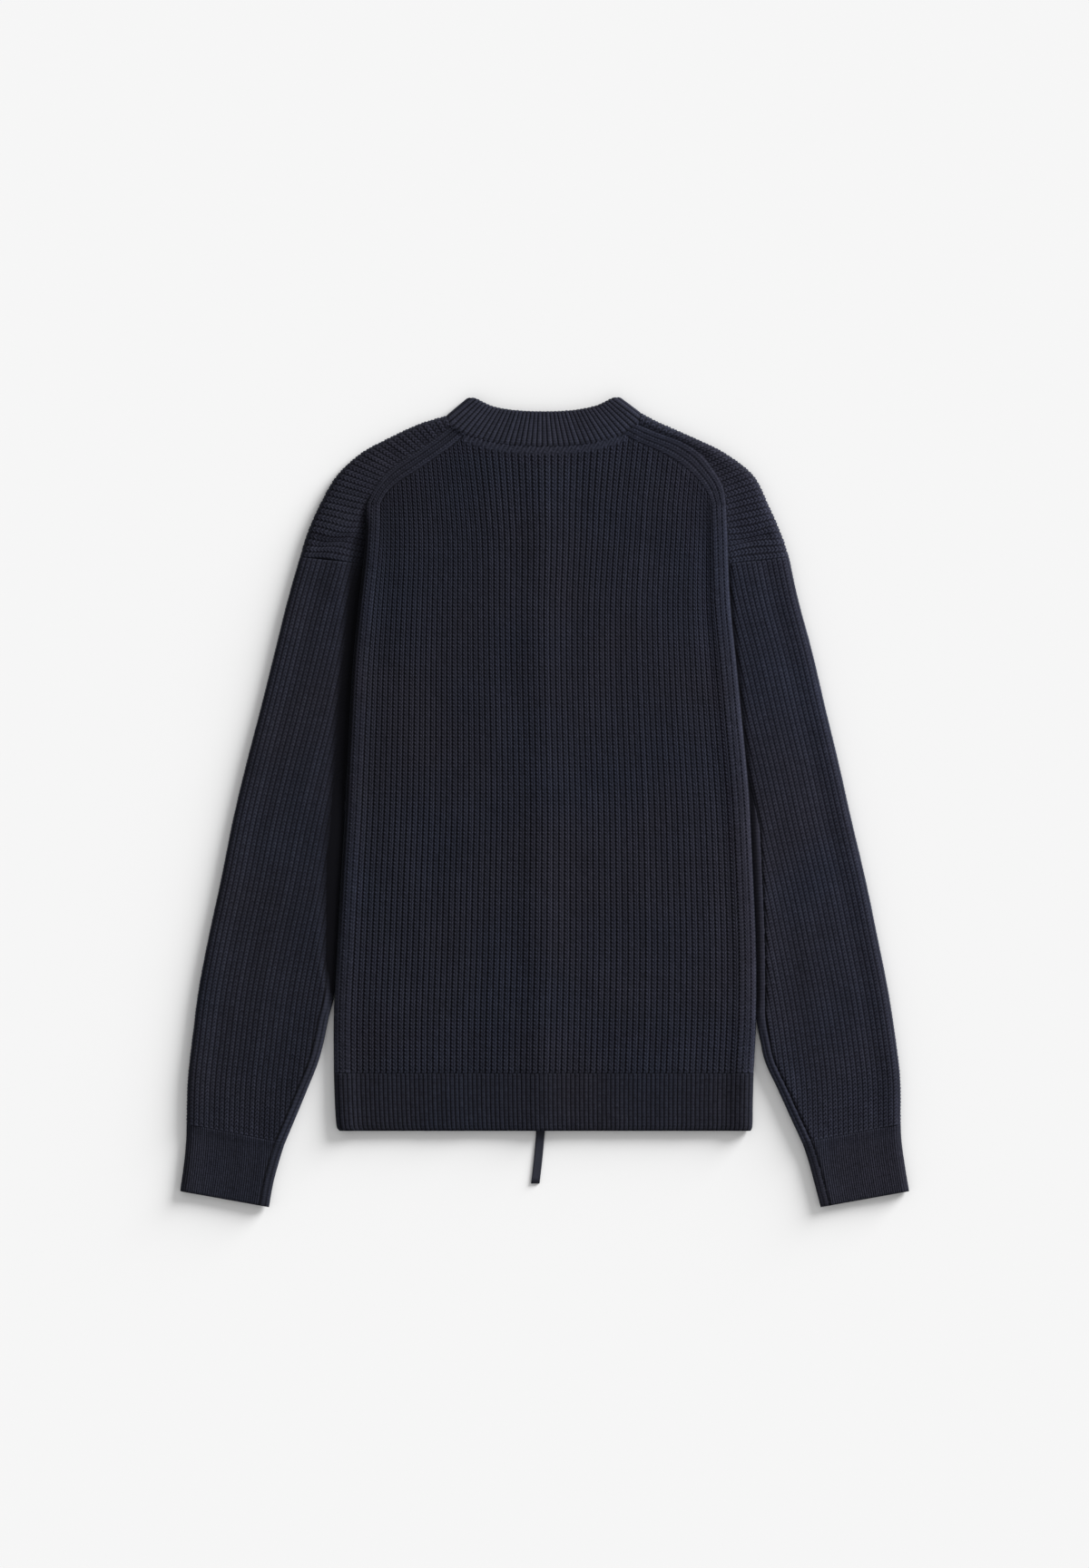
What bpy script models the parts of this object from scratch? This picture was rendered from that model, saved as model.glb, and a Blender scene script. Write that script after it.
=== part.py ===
"""A knitted zip-up cardigan, laid out flat on a surface with its back upward.

The garment is modelled as it is knitted: a back panel, two fronts whose shoulders wrap over
onto the back, two sleeves linked under the arm, cuffs, hem ribs, a collar band and a two-way
zip.  Every cloth piece is a wall of its real thickness, with the ribs raised on its outer side.
Lengths are in millimetres until a mesh is written.  +X is to the right seen from above, +Y runs
towards the collar, and +Z is up from the surface at zero.
"""
import math
from collections import namedtuple

import bmesh
import bpy
from mathutils import Vector

MM = 0.001
SEAM = 0.3                    # gap that is left between two pieces at a seam
LEFT, RIGHT = -1, 1

# Heights above the surface, and wall thicknesses
FRONT_WALL = 3.6
BACK_WALL = 3.5
HEM_WALL = 3.2
EDGE_WALL = 2.9               # a top layer's wall where it is linked to its neighbour
BACK_LEVEL = 9.0              # the rib valleys of the back, away from its edges
BACK_EDGE_LEVEL = 11.2        # the same on its puffed side edges
ZIP_RIDGE = 1.7               # how far the zip underneath lifts the middle of the back
ZIP_RIDGE_WIDTH = 18.0
RIDGE_FADE = (305.0, 343.0)   # it ends between these y values, under the neckline
PUFF_FADE = 230.0             # the back's raised edges start to flatten here
SIDE_SEAM = 5.4               # the side seam and underarm seam
SIDE_TOP = SIDE_SEAM + SEAM / 2       # the top layer's edge at that seam, and the bottom one's
SIDE_FOOT = SIDE_SEAM - SEAM / 2
ARMHOLE_EDGE = 7.0
SHOULDER_SEAM = 8.3
HEM_LEVEL = 8.6
COLLAR_LEVEL = 9.6
YOKE_LEVEL = 10.2
SLEEVE_LEVEL = 8.6
SLEEVE_FOLD_PUFF = 1.8
SLEEVE_UNDERARM_PUFF = 1.2
SLEEVE_ARMHOLE_PUFF = -0.6    # the sleeve sinks a little beside the body
CUFF_LEVEL = 8.0
CUFF_PUFF = 0.8

# Rolled edges, measured inwards from the outline
FOLD_REACH = 7.0              # the curve of a fold takes this much of the width
SIDE_REACH = 9.0
PUFF_REACH = 26.0
FRONT_ROLL = 6.0
ROLL_STEP = 3.0               # from the underarm seam to the roll's next point
ROLL_LIFT = 0.28              # how far up the seam a bottom layer has curled by then

# Ribs
RELIEF = 1.2
FINE_RELIEF = 0.8             # hem and collar ribs
RELIEF_FADE = 4.0             # ribs rise over this much from a rolled edge
BAND_WALES = 3                # the fashioning band round the armhole and shoulder
SHOULDER_WALES = 18
NECK_WALES = 32
HEM_RIBS = 102
COLLAR_RIBS = 43
YOKE_RIBS = 38
SLEEVE_RIBS = 22
SLEEVE_PITCH = 4.9
LEAN_START = 75.0             # the back's wales fan outwards above this height

# The body's side edges, from the hem rib up to the top of the armhole.  closed is 1 where the
# front joins at a side seam and 0 round the armhole; seam is the height of the back's edge.
Side = namedtuple("Side", "y left right closed seam")
BODY_SIDES = [
    Side(-261.6, -203.0, 201.5, 1, SIDE_TOP),
    Side(-205.0, -203.0, 204.2, 1, SIDE_TOP),
    Side(-140.0, -199.8, 204.2, 1, SIDE_TOP),
    Side(-75.0, -196.3, 201.7, 1, SIDE_TOP),
    Side(-14.0, -192.5, 198.6, 1, SIDE_TOP),
    Side(28.0, -190.4, 195.3, 0, ARMHOLE_EDGE),
    Side(80.5, -187.8, 190.2, 0, ARMHOLE_EDGE),
    Side(134.75, -184.6, 184.8, 0, ARMHOLE_EDGE),
    Side(189.0, -179.3, 179.3, 0, ARMHOLE_EDGE),
    Side(229.3, -174.7, 177.2, 0, ARMHOLE_EDGE),
    Side(258.0, -172.4, 176.3, 0, 7.2),
    Side(287.0, -171.5, 175.0, 0, 7.8),
]
UNDERARM_ROW = 5
ARMHOLE_TOP_ROW = 9
SHOULDER_TOP = 300.0          # above this height the back's edge keeps the shoulder seam's level

# Hem rib: the last row is its rounded lower edge
HemRow = namedtuple("HemRow", "y left right drop")
HEM_ROWS = [
    HemRow(-261.9, -203.0, 201.5, 0.0),
    HemRow(-290.0, -202.0, 200.8, 0.0),
    HemRow(-312.0, -200.4, 200.4, 0.3),
    HemRow(-316.75, -197.5, 198.5, 1.6),
]

# Sleeves: outer edge, and inner edge where it is free of the body.  fall is how much lower the
# inner end of a row lies.
Sleeve = namedtuple("Sleeve", "y left right fall inner_left inner_right")
SLEEVE_ARMHOLE = [
    Sleeve(235.8, -235.4, 235.4, 6.5, None, None),
    Sleeve(196.0, -246.8, 244.1, 7.0, None, None),
    Sleeve(143.5, -259.9, 258.1, 8.75, None, None),
    Sleeve(91.0, -273.0, 270.4, 10.5, None, None),
    Sleeve(38.5, -286.6, 283.1, 10.5, None, None),
]
SLEEVE_FREE = [
    Sleeve(-14.0, -299.2, 294.9, 12.2, -194.2, 200.8),
    Sleeve(-75.2, -311.5, 309.3, 13.0, -198.6, 204.9),
    Sleeve(-127.7, -322.9, 320.2, 13.0, -202.6, 206.4),
    Sleeve(-180.2, -332.9, 330.7, 13.0, -206.3, 207.0),
    Sleeve(-228.4, -339.1, 338.2, 13.0, -215.2, 210.0),
    Sleeve(-267.7, -343.4, 342.6, 13.0, -230.1, 226.6),
    Sleeve(-310.6, -344.7, 343.0, 18.4, -250.2, 248.5),
]
CUFF_ROWS = [
    Sleeve(-310.9, -344.7, 343.0, 18.4, -250.2, 248.5),
    Sleeve(-327.2, -345.2, 343.9, 18.3, -255.5, 254.2),
    Sleeve(-350.0, -347.4, 347.0, 16.6, -261.2, 259.9),
    Sleeve(-375.0, -350.9, 351.2, 15.3, -265.5, 266.1),
]

# Plan curves of the shoulders and neck, from the neck outwards
OUTLINE_POINTS = {
    LEFT: [(-94.5, 372.3), (-121.6, 364.0), (-151.4, 350.0), (-176.8, 336.0), (-199.5, 315.0),
           (-216.1, 287.0), (-228.4, 259.0), (-235.4, 235.8)],
    RIGHT: [(92.8, 374.9), (112.9, 364.6), (146.1, 350.0), (174.1, 336.0), (200.8, 315.0),
            (215.2, 287.0), (227.5, 259.0), (235.4, 235.8)],
}
SEAM_POINTS = {
    LEFT: [(-90.1, 362.3), (-105.0, 350.9), (-122.5, 338.6), (-140.0, 327.3), (-154.0, 315.9),
           (-164.5, 301.0), (-171.5, 287.0)],
    RIGHT: [(90.1, 364.0), (111.0, 355.5), (133.0, 347.6), (150.5, 336.0), (162.8, 320.3),
            (172.0, 304.5), (175.0, 287.0)],
}
BAND_POINTS = {
    LEFT: [(-77.0, 354.4), (-87.5, 344.8), (-103.2, 333.4), (-122.5, 320.2), (-139.1, 309.8),
           (-150.5, 300.1), (-157.5, 288.8)],
    RIGHT: [(77.0, 354.9), (90.1, 347.2), (110.2, 338.5), (129.5, 327.5), (145.2, 314.0),
            (155.8, 300.1), (160.9, 288.0)],
}
NECKLINE_POINTS = [(-77.0, 354.4), (-50.0, 347.0), (-25.0, 344.2), (0.0, 343.4), (25.0, 344.2),
                   (50.0, 347.2), (77.0, 354.9)]

# Collar: tips and top edge on the back, and the two edges of its front halves under the back
COLLAR_TIP = {LEFT: (-73.5, 390.2), RIGHT: (71.8, 390.2)}
COLLAR_TOP_POINTS = [(-50.1, 382.1), (-34.1, 378.9), (-18.0, 377.4), (0.0, 377.0), (18.0, 377.5),
                     (34.1, 379.2), (50.1, 382.8)]
FRONT_NECK_POINTS = [(-7.0, 264.0), (-45.5, 280.9), (-71.8, 312.4), (-87.5, 344.8)]
FRONT_COLLAR_POINTS = [(-6.5, 301.0), (-26.2, 311.0), (-43.8, 333.0), (-58.6, 361.0)]
FRONT_STEPS = 16
FOLD_STEPS = 4

# Zip
ZIP_TOP = (0.0, 301.0)
ZIP_FOOT = (-3.5, -316.75)
ZIP_OPENING = 6.5             # from the zip's line to each knitted front edge
TAPE = {"inner": 3.2, "outer": 17.0, "bottom": FRONT_WALL + SEAM, "thick": 1.0,
        "foot_in": 2.5, "head_in": 2.0}
CHAIN = {"half": 2.9, "bottom": 3.3, "top": 5.5}
SLIDER = {"half": 5.25, "length": 13.0, "plate": 0.8, "low": 2.2, "high": 5.8,
          "bar_out": 2.1, "bar_low": 1.1, "bar_thick": 0.7, "arm": 0.8, "arm_in": 1.0}
SLIDER_Y = {"slider_bottom": -309.4, "slider_top": 284.0}
PULL = {"half": 4.15, "thick": 0.8, "rise": 11.0, "length": 58.0, "slit": 0.3, "bend": 1.0,
        "round": 0.3}
PULL_LEAN = {"pull_bottom": -5.6, "pull_top": 0.6}    # sideways, from the bar to the free end

KNIT_COLOUR = (0.0170, 0.0185, 0.0270, 1.0)
TAPE_COLOUR = (0.0120, 0.0135, 0.0210, 1.0)
METAL_COLOUR = (0.055, 0.058, 0.066, 1.0)
KNIT_ROUGHNESS = 0.9
TAPE_ROUGHNESS = 0.85
METAL_ROUGHNESS = 0.4
METALLIC = 0.8


# ---------------------------------------------------------------- plan geometry

def lerp(a, b, t):
    return a + (b - a) * t


def smooth(low, high, value):
    """0 below low, 1 above high, with a soft step between."""
    t = min(max((value - low) / (high - low), 0.0), 1.0)
    return t * t * (3 - 2 * t)


def interpolate(pairs, value):
    """Straight-line reading of (key, value) pairs whose keys rise."""
    if value <= pairs[0][0]:
        return pairs[0][1]
    for (x0, y0), (x1, y1) in zip(pairs, pairs[1:]):
        if value <= x1:
            return lerp(y0, y1, (value - x0) / (x1 - x0))
    return pairs[-1][1]


class Path:
    """A plan curve that is read by its fraction of length."""

    def __init__(self, points, rounded=True, steps=16):
        points = [Vector(point) for point in points]
        if rounded:
            points = self.rounded(points, steps)
        self.points = points
        self.lengths = [0.0]
        for a, b in zip(points, points[1:]):
            self.lengths.append(self.lengths[-1] + (b - a).length)

    @staticmethod
    def rounded(points, steps):
        """Catmull-Rom curve through the points."""
        ends = [2 * points[0] - points[1]] + points + [2 * points[-1] - points[-2]]
        curve = [points[0]]
        for a, b, c, d in zip(ends, ends[1:], ends[2:], ends[3:]):
            for step in range(1, steps + 1):
                t = step / steps
                curve.append(0.5 * (2 * b + (c - a) * t + (2 * a - 5 * b + 4 * c - d) * t ** 2
                                    + (3 * b - a - 3 * c + d) * t ** 3))
        return curve

    def at(self, fraction):
        target = min(max(fraction, 0.0), 1.0) * self.lengths[-1]
        for i in range(1, len(self.lengths)):
            if target <= self.lengths[i]:
                span = self.lengths[i] - self.lengths[i - 1]
                return self.points[i - 1].lerp(self.points[i],
                                               (target - self.lengths[i - 1]) / span)
        return self.points[-1].copy()


def pick(row, side):
    return row.left if side == LEFT else row.right


def side_edge(side, y):
    return interpolate([(row.y, pick(row, side)) for row in BODY_SIDES], y)


def seam_height(y):
    """Height of the back's outer edge, which the yoke meets too."""
    pairs = [(row.y, row.seam) for row in BODY_SIDES] + [(SHOULDER_TOP, SHOULDER_SEAM)]
    return interpolate(pairs, y)


def zip_line(y):
    return lerp(ZIP_FOOT[0], ZIP_TOP[0], (y - ZIP_FOOT[1]) / (ZIP_TOP[1] - ZIP_FOOT[1]))


OUTLINE = {side: Path(points) for side, points in OUTLINE_POINTS.items()}
SHOULDER = {side: Path(points) for side, points in SEAM_POINTS.items()}
BAND = {side: Path(points) for side, points in BAND_POINTS.items()}
NECKLINE = Path(NECKLINE_POINTS)


# ---------------------------------------------------------------- surface profiles

def rolled(distance, edge, level, reach):
    """Height of a rounded edge that climbs from its seam to the flat of the cloth."""
    if distance >= reach:
        return level
    return edge + (level - edge) * math.sqrt(1 - (1 - distance / reach) ** 2)


def back_level(distance, x, y):
    """Height of the back's rib valleys, distance in from its side edge."""
    puff = (1 - smooth(SIDE_REACH, PUFF_REACH, distance)) * (1 - smooth(PUFF_FADE, SHOULDER_TOP, y))
    ridge = math.exp(-((x - zip_line(y)) / ZIP_RIDGE_WIDTH) ** 2) * (1 - smooth(*RIDGE_FADE, y))
    return BACK_LEVEL + (BACK_EDGE_LEVEL - BACK_LEVEL) * puff + ZIP_RIDGE * ridge


def folded(start, outward, angle, level, wall=None):
    """A point of a fold: angle 0 is on top, pi on the surface; wall gives its inner side."""
    low, high, reach = 0.0, level, FOLD_REACH
    if wall is not None:
        low, high, reach = FRONT_WALL, level - wall, FOLD_REACH - wall
    flat = start + outward * reach * math.sin(angle)
    return Vector((flat.x, flat.y, (high + low) / 2 + (high - low) / 2 * math.cos(angle)))


def raised(point, outward, angle, relief):
    """A fold's point moved out along its normal."""
    push = outward * math.sin(angle) * relief
    return point + Vector((push.x, push.y, math.cos(angle) * relief))


def spatial(plan, z):
    return Vector((plan[0], plan[1], z))


# ---------------------------------------------------------------- meshes

class Shell:
    """Gathers the faces of one closed wall and welds the points that they share."""

    def __init__(self):
        self.mesh = bmesh.new()
        self.known = {}

    def vert(self, point):
        key = tuple(round(value, 3) for value in point)
        if key not in self.known:
            self.known[key] = self.mesh.verts.new([value * MM for value in point])
        return self.known[key]

    def face(self, points):
        corners = []
        for vert in [self.vert(point) for point in points]:
            if vert not in corners:
                corners.append(vert)
        if len(corners) > 2:
            self.mesh.faces.new(corners)

    def grid(self, rows):
        for low, high in zip(rows, rows[1:]):
            for i in range(len(low) - 1):
                self.face([low[i], low[i + 1], high[i + 1], high[i]])

    def strip(self, a, b):
        self.grid([a, b])

    def rim(self, many, few, ties=None):
        """Joins a finely divided edge to a coarse one.  ties lists the pairs that face."""
        if ties is None:
            step = (len(many) - 1) // (len(few) - 1)
            ties = [(i * step, i) for i in range(len(few))]
        for (m0, f0), (m1, f1) in zip(ties, ties[1:]):
            self.face(list(many[m0:m1 + 1]) + list(reversed(few[f0:f1 + 1])))

    def wall(self, outer, inner, ties):
        """A closed wall from an outer and an inner grid with the same rows."""
        self.grid(outer)
        self.grid(inner)
        self.strip([row[0] for row in outer], [row[0] for row in inner])
        self.strip([row[-1] for row in outer], [row[-1] for row in inner])
        self.rim(outer[0], inner[0], ties[0])
        self.rim(outer[-1], inner[-1], ties[-1])

    def build(self, name, material):
        bmesh.ops.recalc_face_normals(self.mesh, faces=self.mesh.faces)
        data = bpy.data.meshes.new(name)
        self.mesh.to_mesh(data)
        self.mesh.free()
        return add_object(name, data, material)


def add_object(name, data, material):
    obj = bpy.data.objects.new(name, data)
    bpy.context.collection.objects.link(obj)
    data.materials.clear()
    data.materials.append(material)
    return obj


def make_material(name, colour, roughness, metallic=0.0):
    material = bpy.data.materials.new(name)
    material.use_nodes = True
    shader = material.node_tree.nodes["Principled BSDF"]
    shader.inputs["Base Color"].default_value = colour
    shader.inputs["Roughness"].default_value = roughness
    shader.inputs["Metallic"].default_value = metallic
    return material


# ---------------------------------------------------------------- back panel

BAND_COLUMNS = 2 * BAND_WALES
NECK_LEFT = 2 * (BAND_WALES + SHOULDER_WALES)
NECK_RIGHT = NECK_LEFT + 2 * NECK_WALES
BACK_COLUMNS = NECK_RIGHT + NECK_LEFT
INNER_STEP = 4                # the plain inner side has every fourth column
EDGE_RIB = 0.6                # share of the relief that the band's outermost rib has


def back_top(column):
    """Where a wale of the back ends: under the shoulder's band, or at the neckline."""
    if column <= NECK_LEFT:
        return BAND[LEFT].at((NECK_LEFT - column) / (NECK_LEFT - BAND_COLUMNS))
    if column >= NECK_RIGHT:
        return BAND[RIGHT].at((column - NECK_RIGHT) / (NECK_LEFT - BAND_COLUMNS))
    return NECKLINE.at((column - NECK_LEFT) / (NECK_RIGHT - NECK_LEFT))


def back_plan(column, row):
    """Plan point of the back, whose wales stand upright and fan outwards at the top."""
    def upright(y):
        return lerp(side_edge(LEFT, y), side_edge(RIGHT, y), column / BACK_COLUMNS)
    foot, head = BODY_SIDES[0].y, BODY_SIDES[-1].y
    top = back_top(column)
    y = foot + (top.y - foot) * (BODY_SIDES[row].y - foot) / (head - foot)
    lean = max((y - LEAN_START) / (top.y - LEAN_START), 0.0) ** 2
    return Vector((upright(y) + (top.x - upright(top.y)) * lean, y))


def back_point(column, row, inner=False):
    plan = back_plan(column, row)
    pitch = (side_edge(RIGHT, plan.y) - side_edge(LEFT, plan.y)) / BACK_COLUMNS
    level = back_level(min(column, BACK_COLUMNS - column) * pitch, plan.x, plan.y)
    if inner:
        return spatial(plan, level - BACK_WALL)
    return spatial(plan, level + RELIEF * (column % 2))


def band_station(outer, field, level, closed, seam, reach):
    """One line across the fashioning band: its ribbed outer points and its two inner ones."""
    inner = field.to_2d()
    width = (inner - outer).length
    points = []
    for k in range(BAND_COLUMNS):
        height = rolled(width * k / BAND_COLUMNS, seam, level, reach)
        weight = RELIEF * (k % 2) * (EDGE_RIB if k == 1 else 1.0)
        points.append(spatial(outer.lerp(inner, k / BAND_COLUMNS), height + weight))
    edge_in = outer + (inner - outer).normalized() * BACK_WALL * closed
    return points + [field], [spatial(edge_in, lerp(seam - EDGE_WALL, seam, closed)),
                              spatial(inner, level - BACK_WALL)]


def back_band(shell, side):
    """The band that runs up the side and over the shoulder, sharing the field's edge."""
    first = BAND_COLUMNS if side == LEFT else BACK_COLUMNS - BAND_COLUMNS
    last = len(BODY_SIDES) - 1
    shoulder = NECK_LEFT - BAND_COLUMNS
    stations = []

    def station(column, row, outer, closed, seam, reach):
        level = back_point(column, row, inner=True).z + BACK_WALL
        stations.append(band_station(outer, back_point(column, row), level, closed, seam, reach))

    for row, edge in enumerate(BODY_SIDES):
        station(first, row, Vector((pick(edge, side), edge.y)), edge.closed, edge.seam,
                SIDE_REACH)
    for step in range(1, shoulder + 1):
        seam = lerp(BODY_SIDES[last].seam, SHOULDER_SEAM, min(step / INNER_STEP, 1.0))
        station(first - side * step, last, SHOULDER[side].at(1 - step / shoulder), 0, seam,
                SIDE_REACH / 2)
    outers = [outer for outer, inner in stations]
    inners = [inner for outer, inner in stations[:last]]
    inners += [inner for outer, inner in stations[last::INNER_STEP]]
    shell.grid(outers)
    shell.grid(inners)
    shell.strip([outer[0] for outer in outers[:last + 1]], [inner[0] for inner in inners[:last + 1]])
    shell.rim([outer[0] for outer in outers[last:]], [inner[0] for inner in inners[last:]])
    for outer, inner in ((outers[0], inners[0]), (outers[-1], inners[-1])):
        shell.rim(outer, inner)


def build_back(material):
    shell = Shell()
    rows = range(len(BODY_SIDES))
    columns = range(BAND_COLUMNS, BACK_COLUMNS - BAND_COLUMNS + 1)
    coarse = columns[::INNER_STEP]
    outer = [[back_point(column, row) for column in columns] for row in rows]
    inner = [[back_point(column, row, inner=True) for column in coarse] for row in rows]
    shell.grid(outer)
    shell.grid(inner)
    shell.rim(outer[0], inner[0])
    neck = slice(NECK_LEFT - BAND_COLUMNS, NECK_RIGHT - BAND_COLUMNS + 1)
    coarse_neck = slice(neck.start // INNER_STEP, (neck.stop - 1) // INNER_STEP + 1)
    shell.rim(outer[-1][neck], inner[-1][coarse_neck])
    for side in (LEFT, RIGHT):
        back_band(shell, side)
    return shell.build("back_panel", material)


# ---------------------------------------------------------------- fronts with their yokes

YOKE_ANGLES = [math.pi * (1 - step / FOLD_STEPS) for step in range(FOLD_STEPS + 1)]
YOKE_ACROSS = (0.35, 0.7, 1.0)        # beyond the fold, towards the seam on the back
YOKE_FLATTEN = 0.7                    # share of the relief that is gone at that seam


def moved_off(points, side):
    """The seam line moved outwards from the back by the gap."""
    moved = []
    for i, point in enumerate(points):
        along = Vector((0.0, 0.0))
        if i > 0:
            along += (point - points[i - 1]).normalized()
        if i < len(points) - 1:
            along += (points[i + 1] - point).normalized()
        moved.append(point - Vector((along.y, -along.x)).normalized() * SEAM * side)
    return moved


def yoke_seam(side):
    """The yoke's edge on the back, as its shoulder seam and its stretch of the armhole."""
    shoulder = list(SHOULDER[side].points)
    armhole = [Vector((pick(row, side), row.y))
               for row in (BODY_SIDES[-2], BODY_SIDES[ARMHOLE_TOP_ROW])]
    moved = moved_off(shoulder + armhole, side)
    corner = len(shoulder) - 1
    return Path(moved[:corner + 1], rounded=False), Path(moved[corner:], rounded=False)


YOKE_COLUMNS = 2 * YOKE_RIBS
YOKE_CORNER = 52              # the rib line that meets the corner of the shoulder and armhole
YOKE_SEAM = {side: yoke_seam(side) for side in (LEFT, RIGHT)}


def yoke_seam_at(side, index):
    shoulder, armhole = YOKE_SEAM[side]
    if index <= YOKE_CORNER:
        return shoulder.at(index / YOKE_CORNER)
    return armhole.at((index - YOKE_CORNER) / (YOKE_COLUMNS - YOKE_CORNER))


def yoke_station(side, index):
    """One rib line of the yoke, from under the fold, over it, to the seam on the back."""
    outline = OUTLINE[side].at(index / YOKE_COLUMNS)
    seam = yoke_seam_at(side, index)
    outward = (outline - seam).normalized()
    start = outline - outward * FOLD_REACH
    peak = index % 2
    outer = []
    for angle in YOKE_ANGLES:
        point = folded(start, outward, angle, YOKE_LEVEL)
        weight = peak * RELIEF * min(1.0, 2 * (1 - angle / math.pi))
        outer.append(raised(point, outward, angle, weight))
    edge = seam_height(seam.y)
    for across in YOKE_ACROSS:
        height = lerp(YOKE_LEVEL, edge, smooth(0, 1, across))
        relief = peak * RELIEF * (1 - YOKE_FLATTEN * across)
        outer.append(spatial(start.lerp(seam, across), height + relief))
    inner = [folded(start, outward, angle, YOKE_LEVEL, BACK_WALL)
             for angle in (math.pi, math.pi / 2, 0.0)]
    middle = YOKE_ACROSS[1]
    inner.append(spatial(start.lerp(seam, middle),
                         lerp(YOKE_LEVEL, edge, smooth(0, 1, middle)) - BACK_WALL))
    inner.append(spatial(seam, edge - EDGE_WALL))
    return outer, inner


YOKE_TIES = [(0, 0), (2, 1), (4, 2), (6, 3), (7, 4)]


def front_neck(side):
    """Front neckline from the zip to the fold at the shoulder."""
    fold_end = yoke_station(side, 0)[0][0]
    points = [(-side * x, y) for x, y in FRONT_NECK_POINTS]
    points[0] = (zip_line(points[0][1]) + side * ZIP_OPENING, points[0][1])
    path = Path(points + [(fold_end.x, fold_end.y)])
    curve = [path.at(i / FRONT_STEPS) for i in range(FRONT_STEPS + 1)]
    curve[-1] = Vector((fold_end.x, fold_end.y))
    return curve


def front_side_strips(shell, rows, side):
    """The front's side edge, which rolls up to the side seam; returns its inward lines."""
    outer, inner = [], []
    for y, edge, closed in rows:
        seam = SIDE_FOOT * closed
        outer.append([Vector((edge - side * FRONT_ROLL, y, 0.0)),
                      Vector((edge - side * ROLL_STEP / 2, y, ROLL_LIFT * seam)),
                      Vector((edge, y, seam))])
        inner_edge = edge - side * FRONT_WALL * closed
        inner.append([Vector((edge - side * FRONT_ROLL, y, FRONT_WALL)),
                      Vector((inner_edge, y, lerp(FRONT_WALL, seam, closed)))])
    shell.grid(outer)
    shell.grid(inner)
    shell.strip([row[-1] for row in outer], [row[-1] for row in inner])
    shell.rim(outer[0], inner[0], [(0, 0), (2, 1)])
    return outer, inner


def build_front(name, side, material):
    shell = Shell()
    stations = [yoke_station(side, i) for i in range(YOKE_COLUMNS + 1)]
    outers = [outer for outer, inner in stations]
    inners = [inner for outer, inner in stations[::INNER_STEP]]
    shell.grid(outers)
    shell.grid(inners)
    shell.rim([outer[-1] for outer in outers], [inner[-1] for inner in inners])
    shell.rim(outers[0], inners[0], YOKE_TIES)
    shell.rim(outers[-1], inners[-1], YOKE_TIES)

    rows = [(row.y, pick(row, side), row.closed) for row in BODY_SIDES[:ARMHOLE_TOP_ROW + 1]]
    side_outer, side_inner = front_side_strips(shell, rows, side)
    neck = front_neck(side)
    foot = Vector((zip_line(rows[0][0]) + side * ZIP_OPENING, rows[0][0]))
    fold_out = [outer[0] for outer in reversed(outers)]
    fold_in = [inner[0] for inner in reversed(inners)]
    turn_out, turn_in = side_outer[-1], side_inner[-1]
    shell.face([spatial(foot, 0.0)] + [row[0] for row in side_outer] + turn_out[1:]
               + fold_out + [spatial(point, 0.0) for point in reversed(neck[:-1])])
    shell.face([spatial(foot, FRONT_WALL)] + [row[0] for row in side_inner] + turn_in[1:]
               + fold_in + [spatial(point, FRONT_WALL) for point in reversed(neck[:-1])])
    edge = [foot] + neck
    shell.strip([spatial(point, 0.0) for point in edge],
                [spatial(point, FRONT_WALL) for point in edge])
    shell.strip([side_outer[0][0], spatial(foot, 0.0)],
                [side_inner[0][0], spatial(foot, FRONT_WALL)])
    shell.strip([turn_out[-1], fold_out[0]], [turn_in[-1], fold_in[0]])
    return shell.build(name, material)


# ---------------------------------------------------------------- hem ribs

def hem_point(row, fraction, relief=0.0, inner=False):
    """A point of the back's hem rib, fraction across it."""
    width = row.right - row.left
    distance = min(fraction, 1 - fraction) * width
    x = row.left + fraction * width
    base = HEM_LEVEL + back_level(distance, x, BODY_SIDES[0].y) - BACK_LEVEL
    if inner:
        return Vector((x, row.y, base - HEM_WALL))
    height = rolled(distance, SIDE_TOP, base - row.drop, SIDE_REACH)
    return Vector((x, row.y, height + relief * smooth(0, RELIEF_FADE, distance)))


HEM_INNER = 34                # columns of its plain inner side


def build_hem_back(material):
    shell = Shell()
    columns = 2 * HEM_RIBS
    outer = [[hem_point(row, i / columns, FINE_RELIEF * (i % 2)) for i in range(columns + 1)]
             for row in HEM_ROWS]
    inner = []
    for row in HEM_ROWS:
        line = [hem_point(row, i / HEM_INNER, inner=True) for i in range(HEM_INNER + 1)]
        line[0] = Vector((row.left + BACK_WALL, row.y, SIDE_TOP))
        line[-1] = Vector((row.right - BACK_WALL, row.y, SIDE_TOP))
        inner.append(line)
    ties = [(i * columns // HEM_INNER, i) for i in range(HEM_INNER + 1)]
    shell.wall(outer, inner, (ties, ties))
    return shell.build("hem_back", material)


def build_hem_front(name, side, material):
    shell = Shell()
    rows = [(row.y, pick(row, side), 1) for row in reversed(HEM_ROWS)]
    outer, inner = front_side_strips(shell, rows, side)
    shell.rim(outer[-1], inner[-1], [(0, 0), (2, 1)])
    zip_edge = [Vector((zip_line(y) + side * ZIP_OPENING, y)) for y in (rows[-1][0], rows[0][0])]
    low = [spatial(point, 0.0) for point in zip_edge]
    high = [spatial(point, FRONT_WALL) for point in zip_edge]
    shell.face([row[0] for row in outer] + low)
    shell.face([row[0] for row in inner] + high)
    shell.strip([outer[-1][0]] + low + [outer[0][0]], [inner[-1][0]] + high + [inner[0][0]])
    return shell.build(name, material)


# ---------------------------------------------------------------- sleeves and cuffs

TUBE_ANGLES = [math.pi * step / FOLD_STEPS for step in range(1, FOLD_STEPS + 1)]


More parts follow.
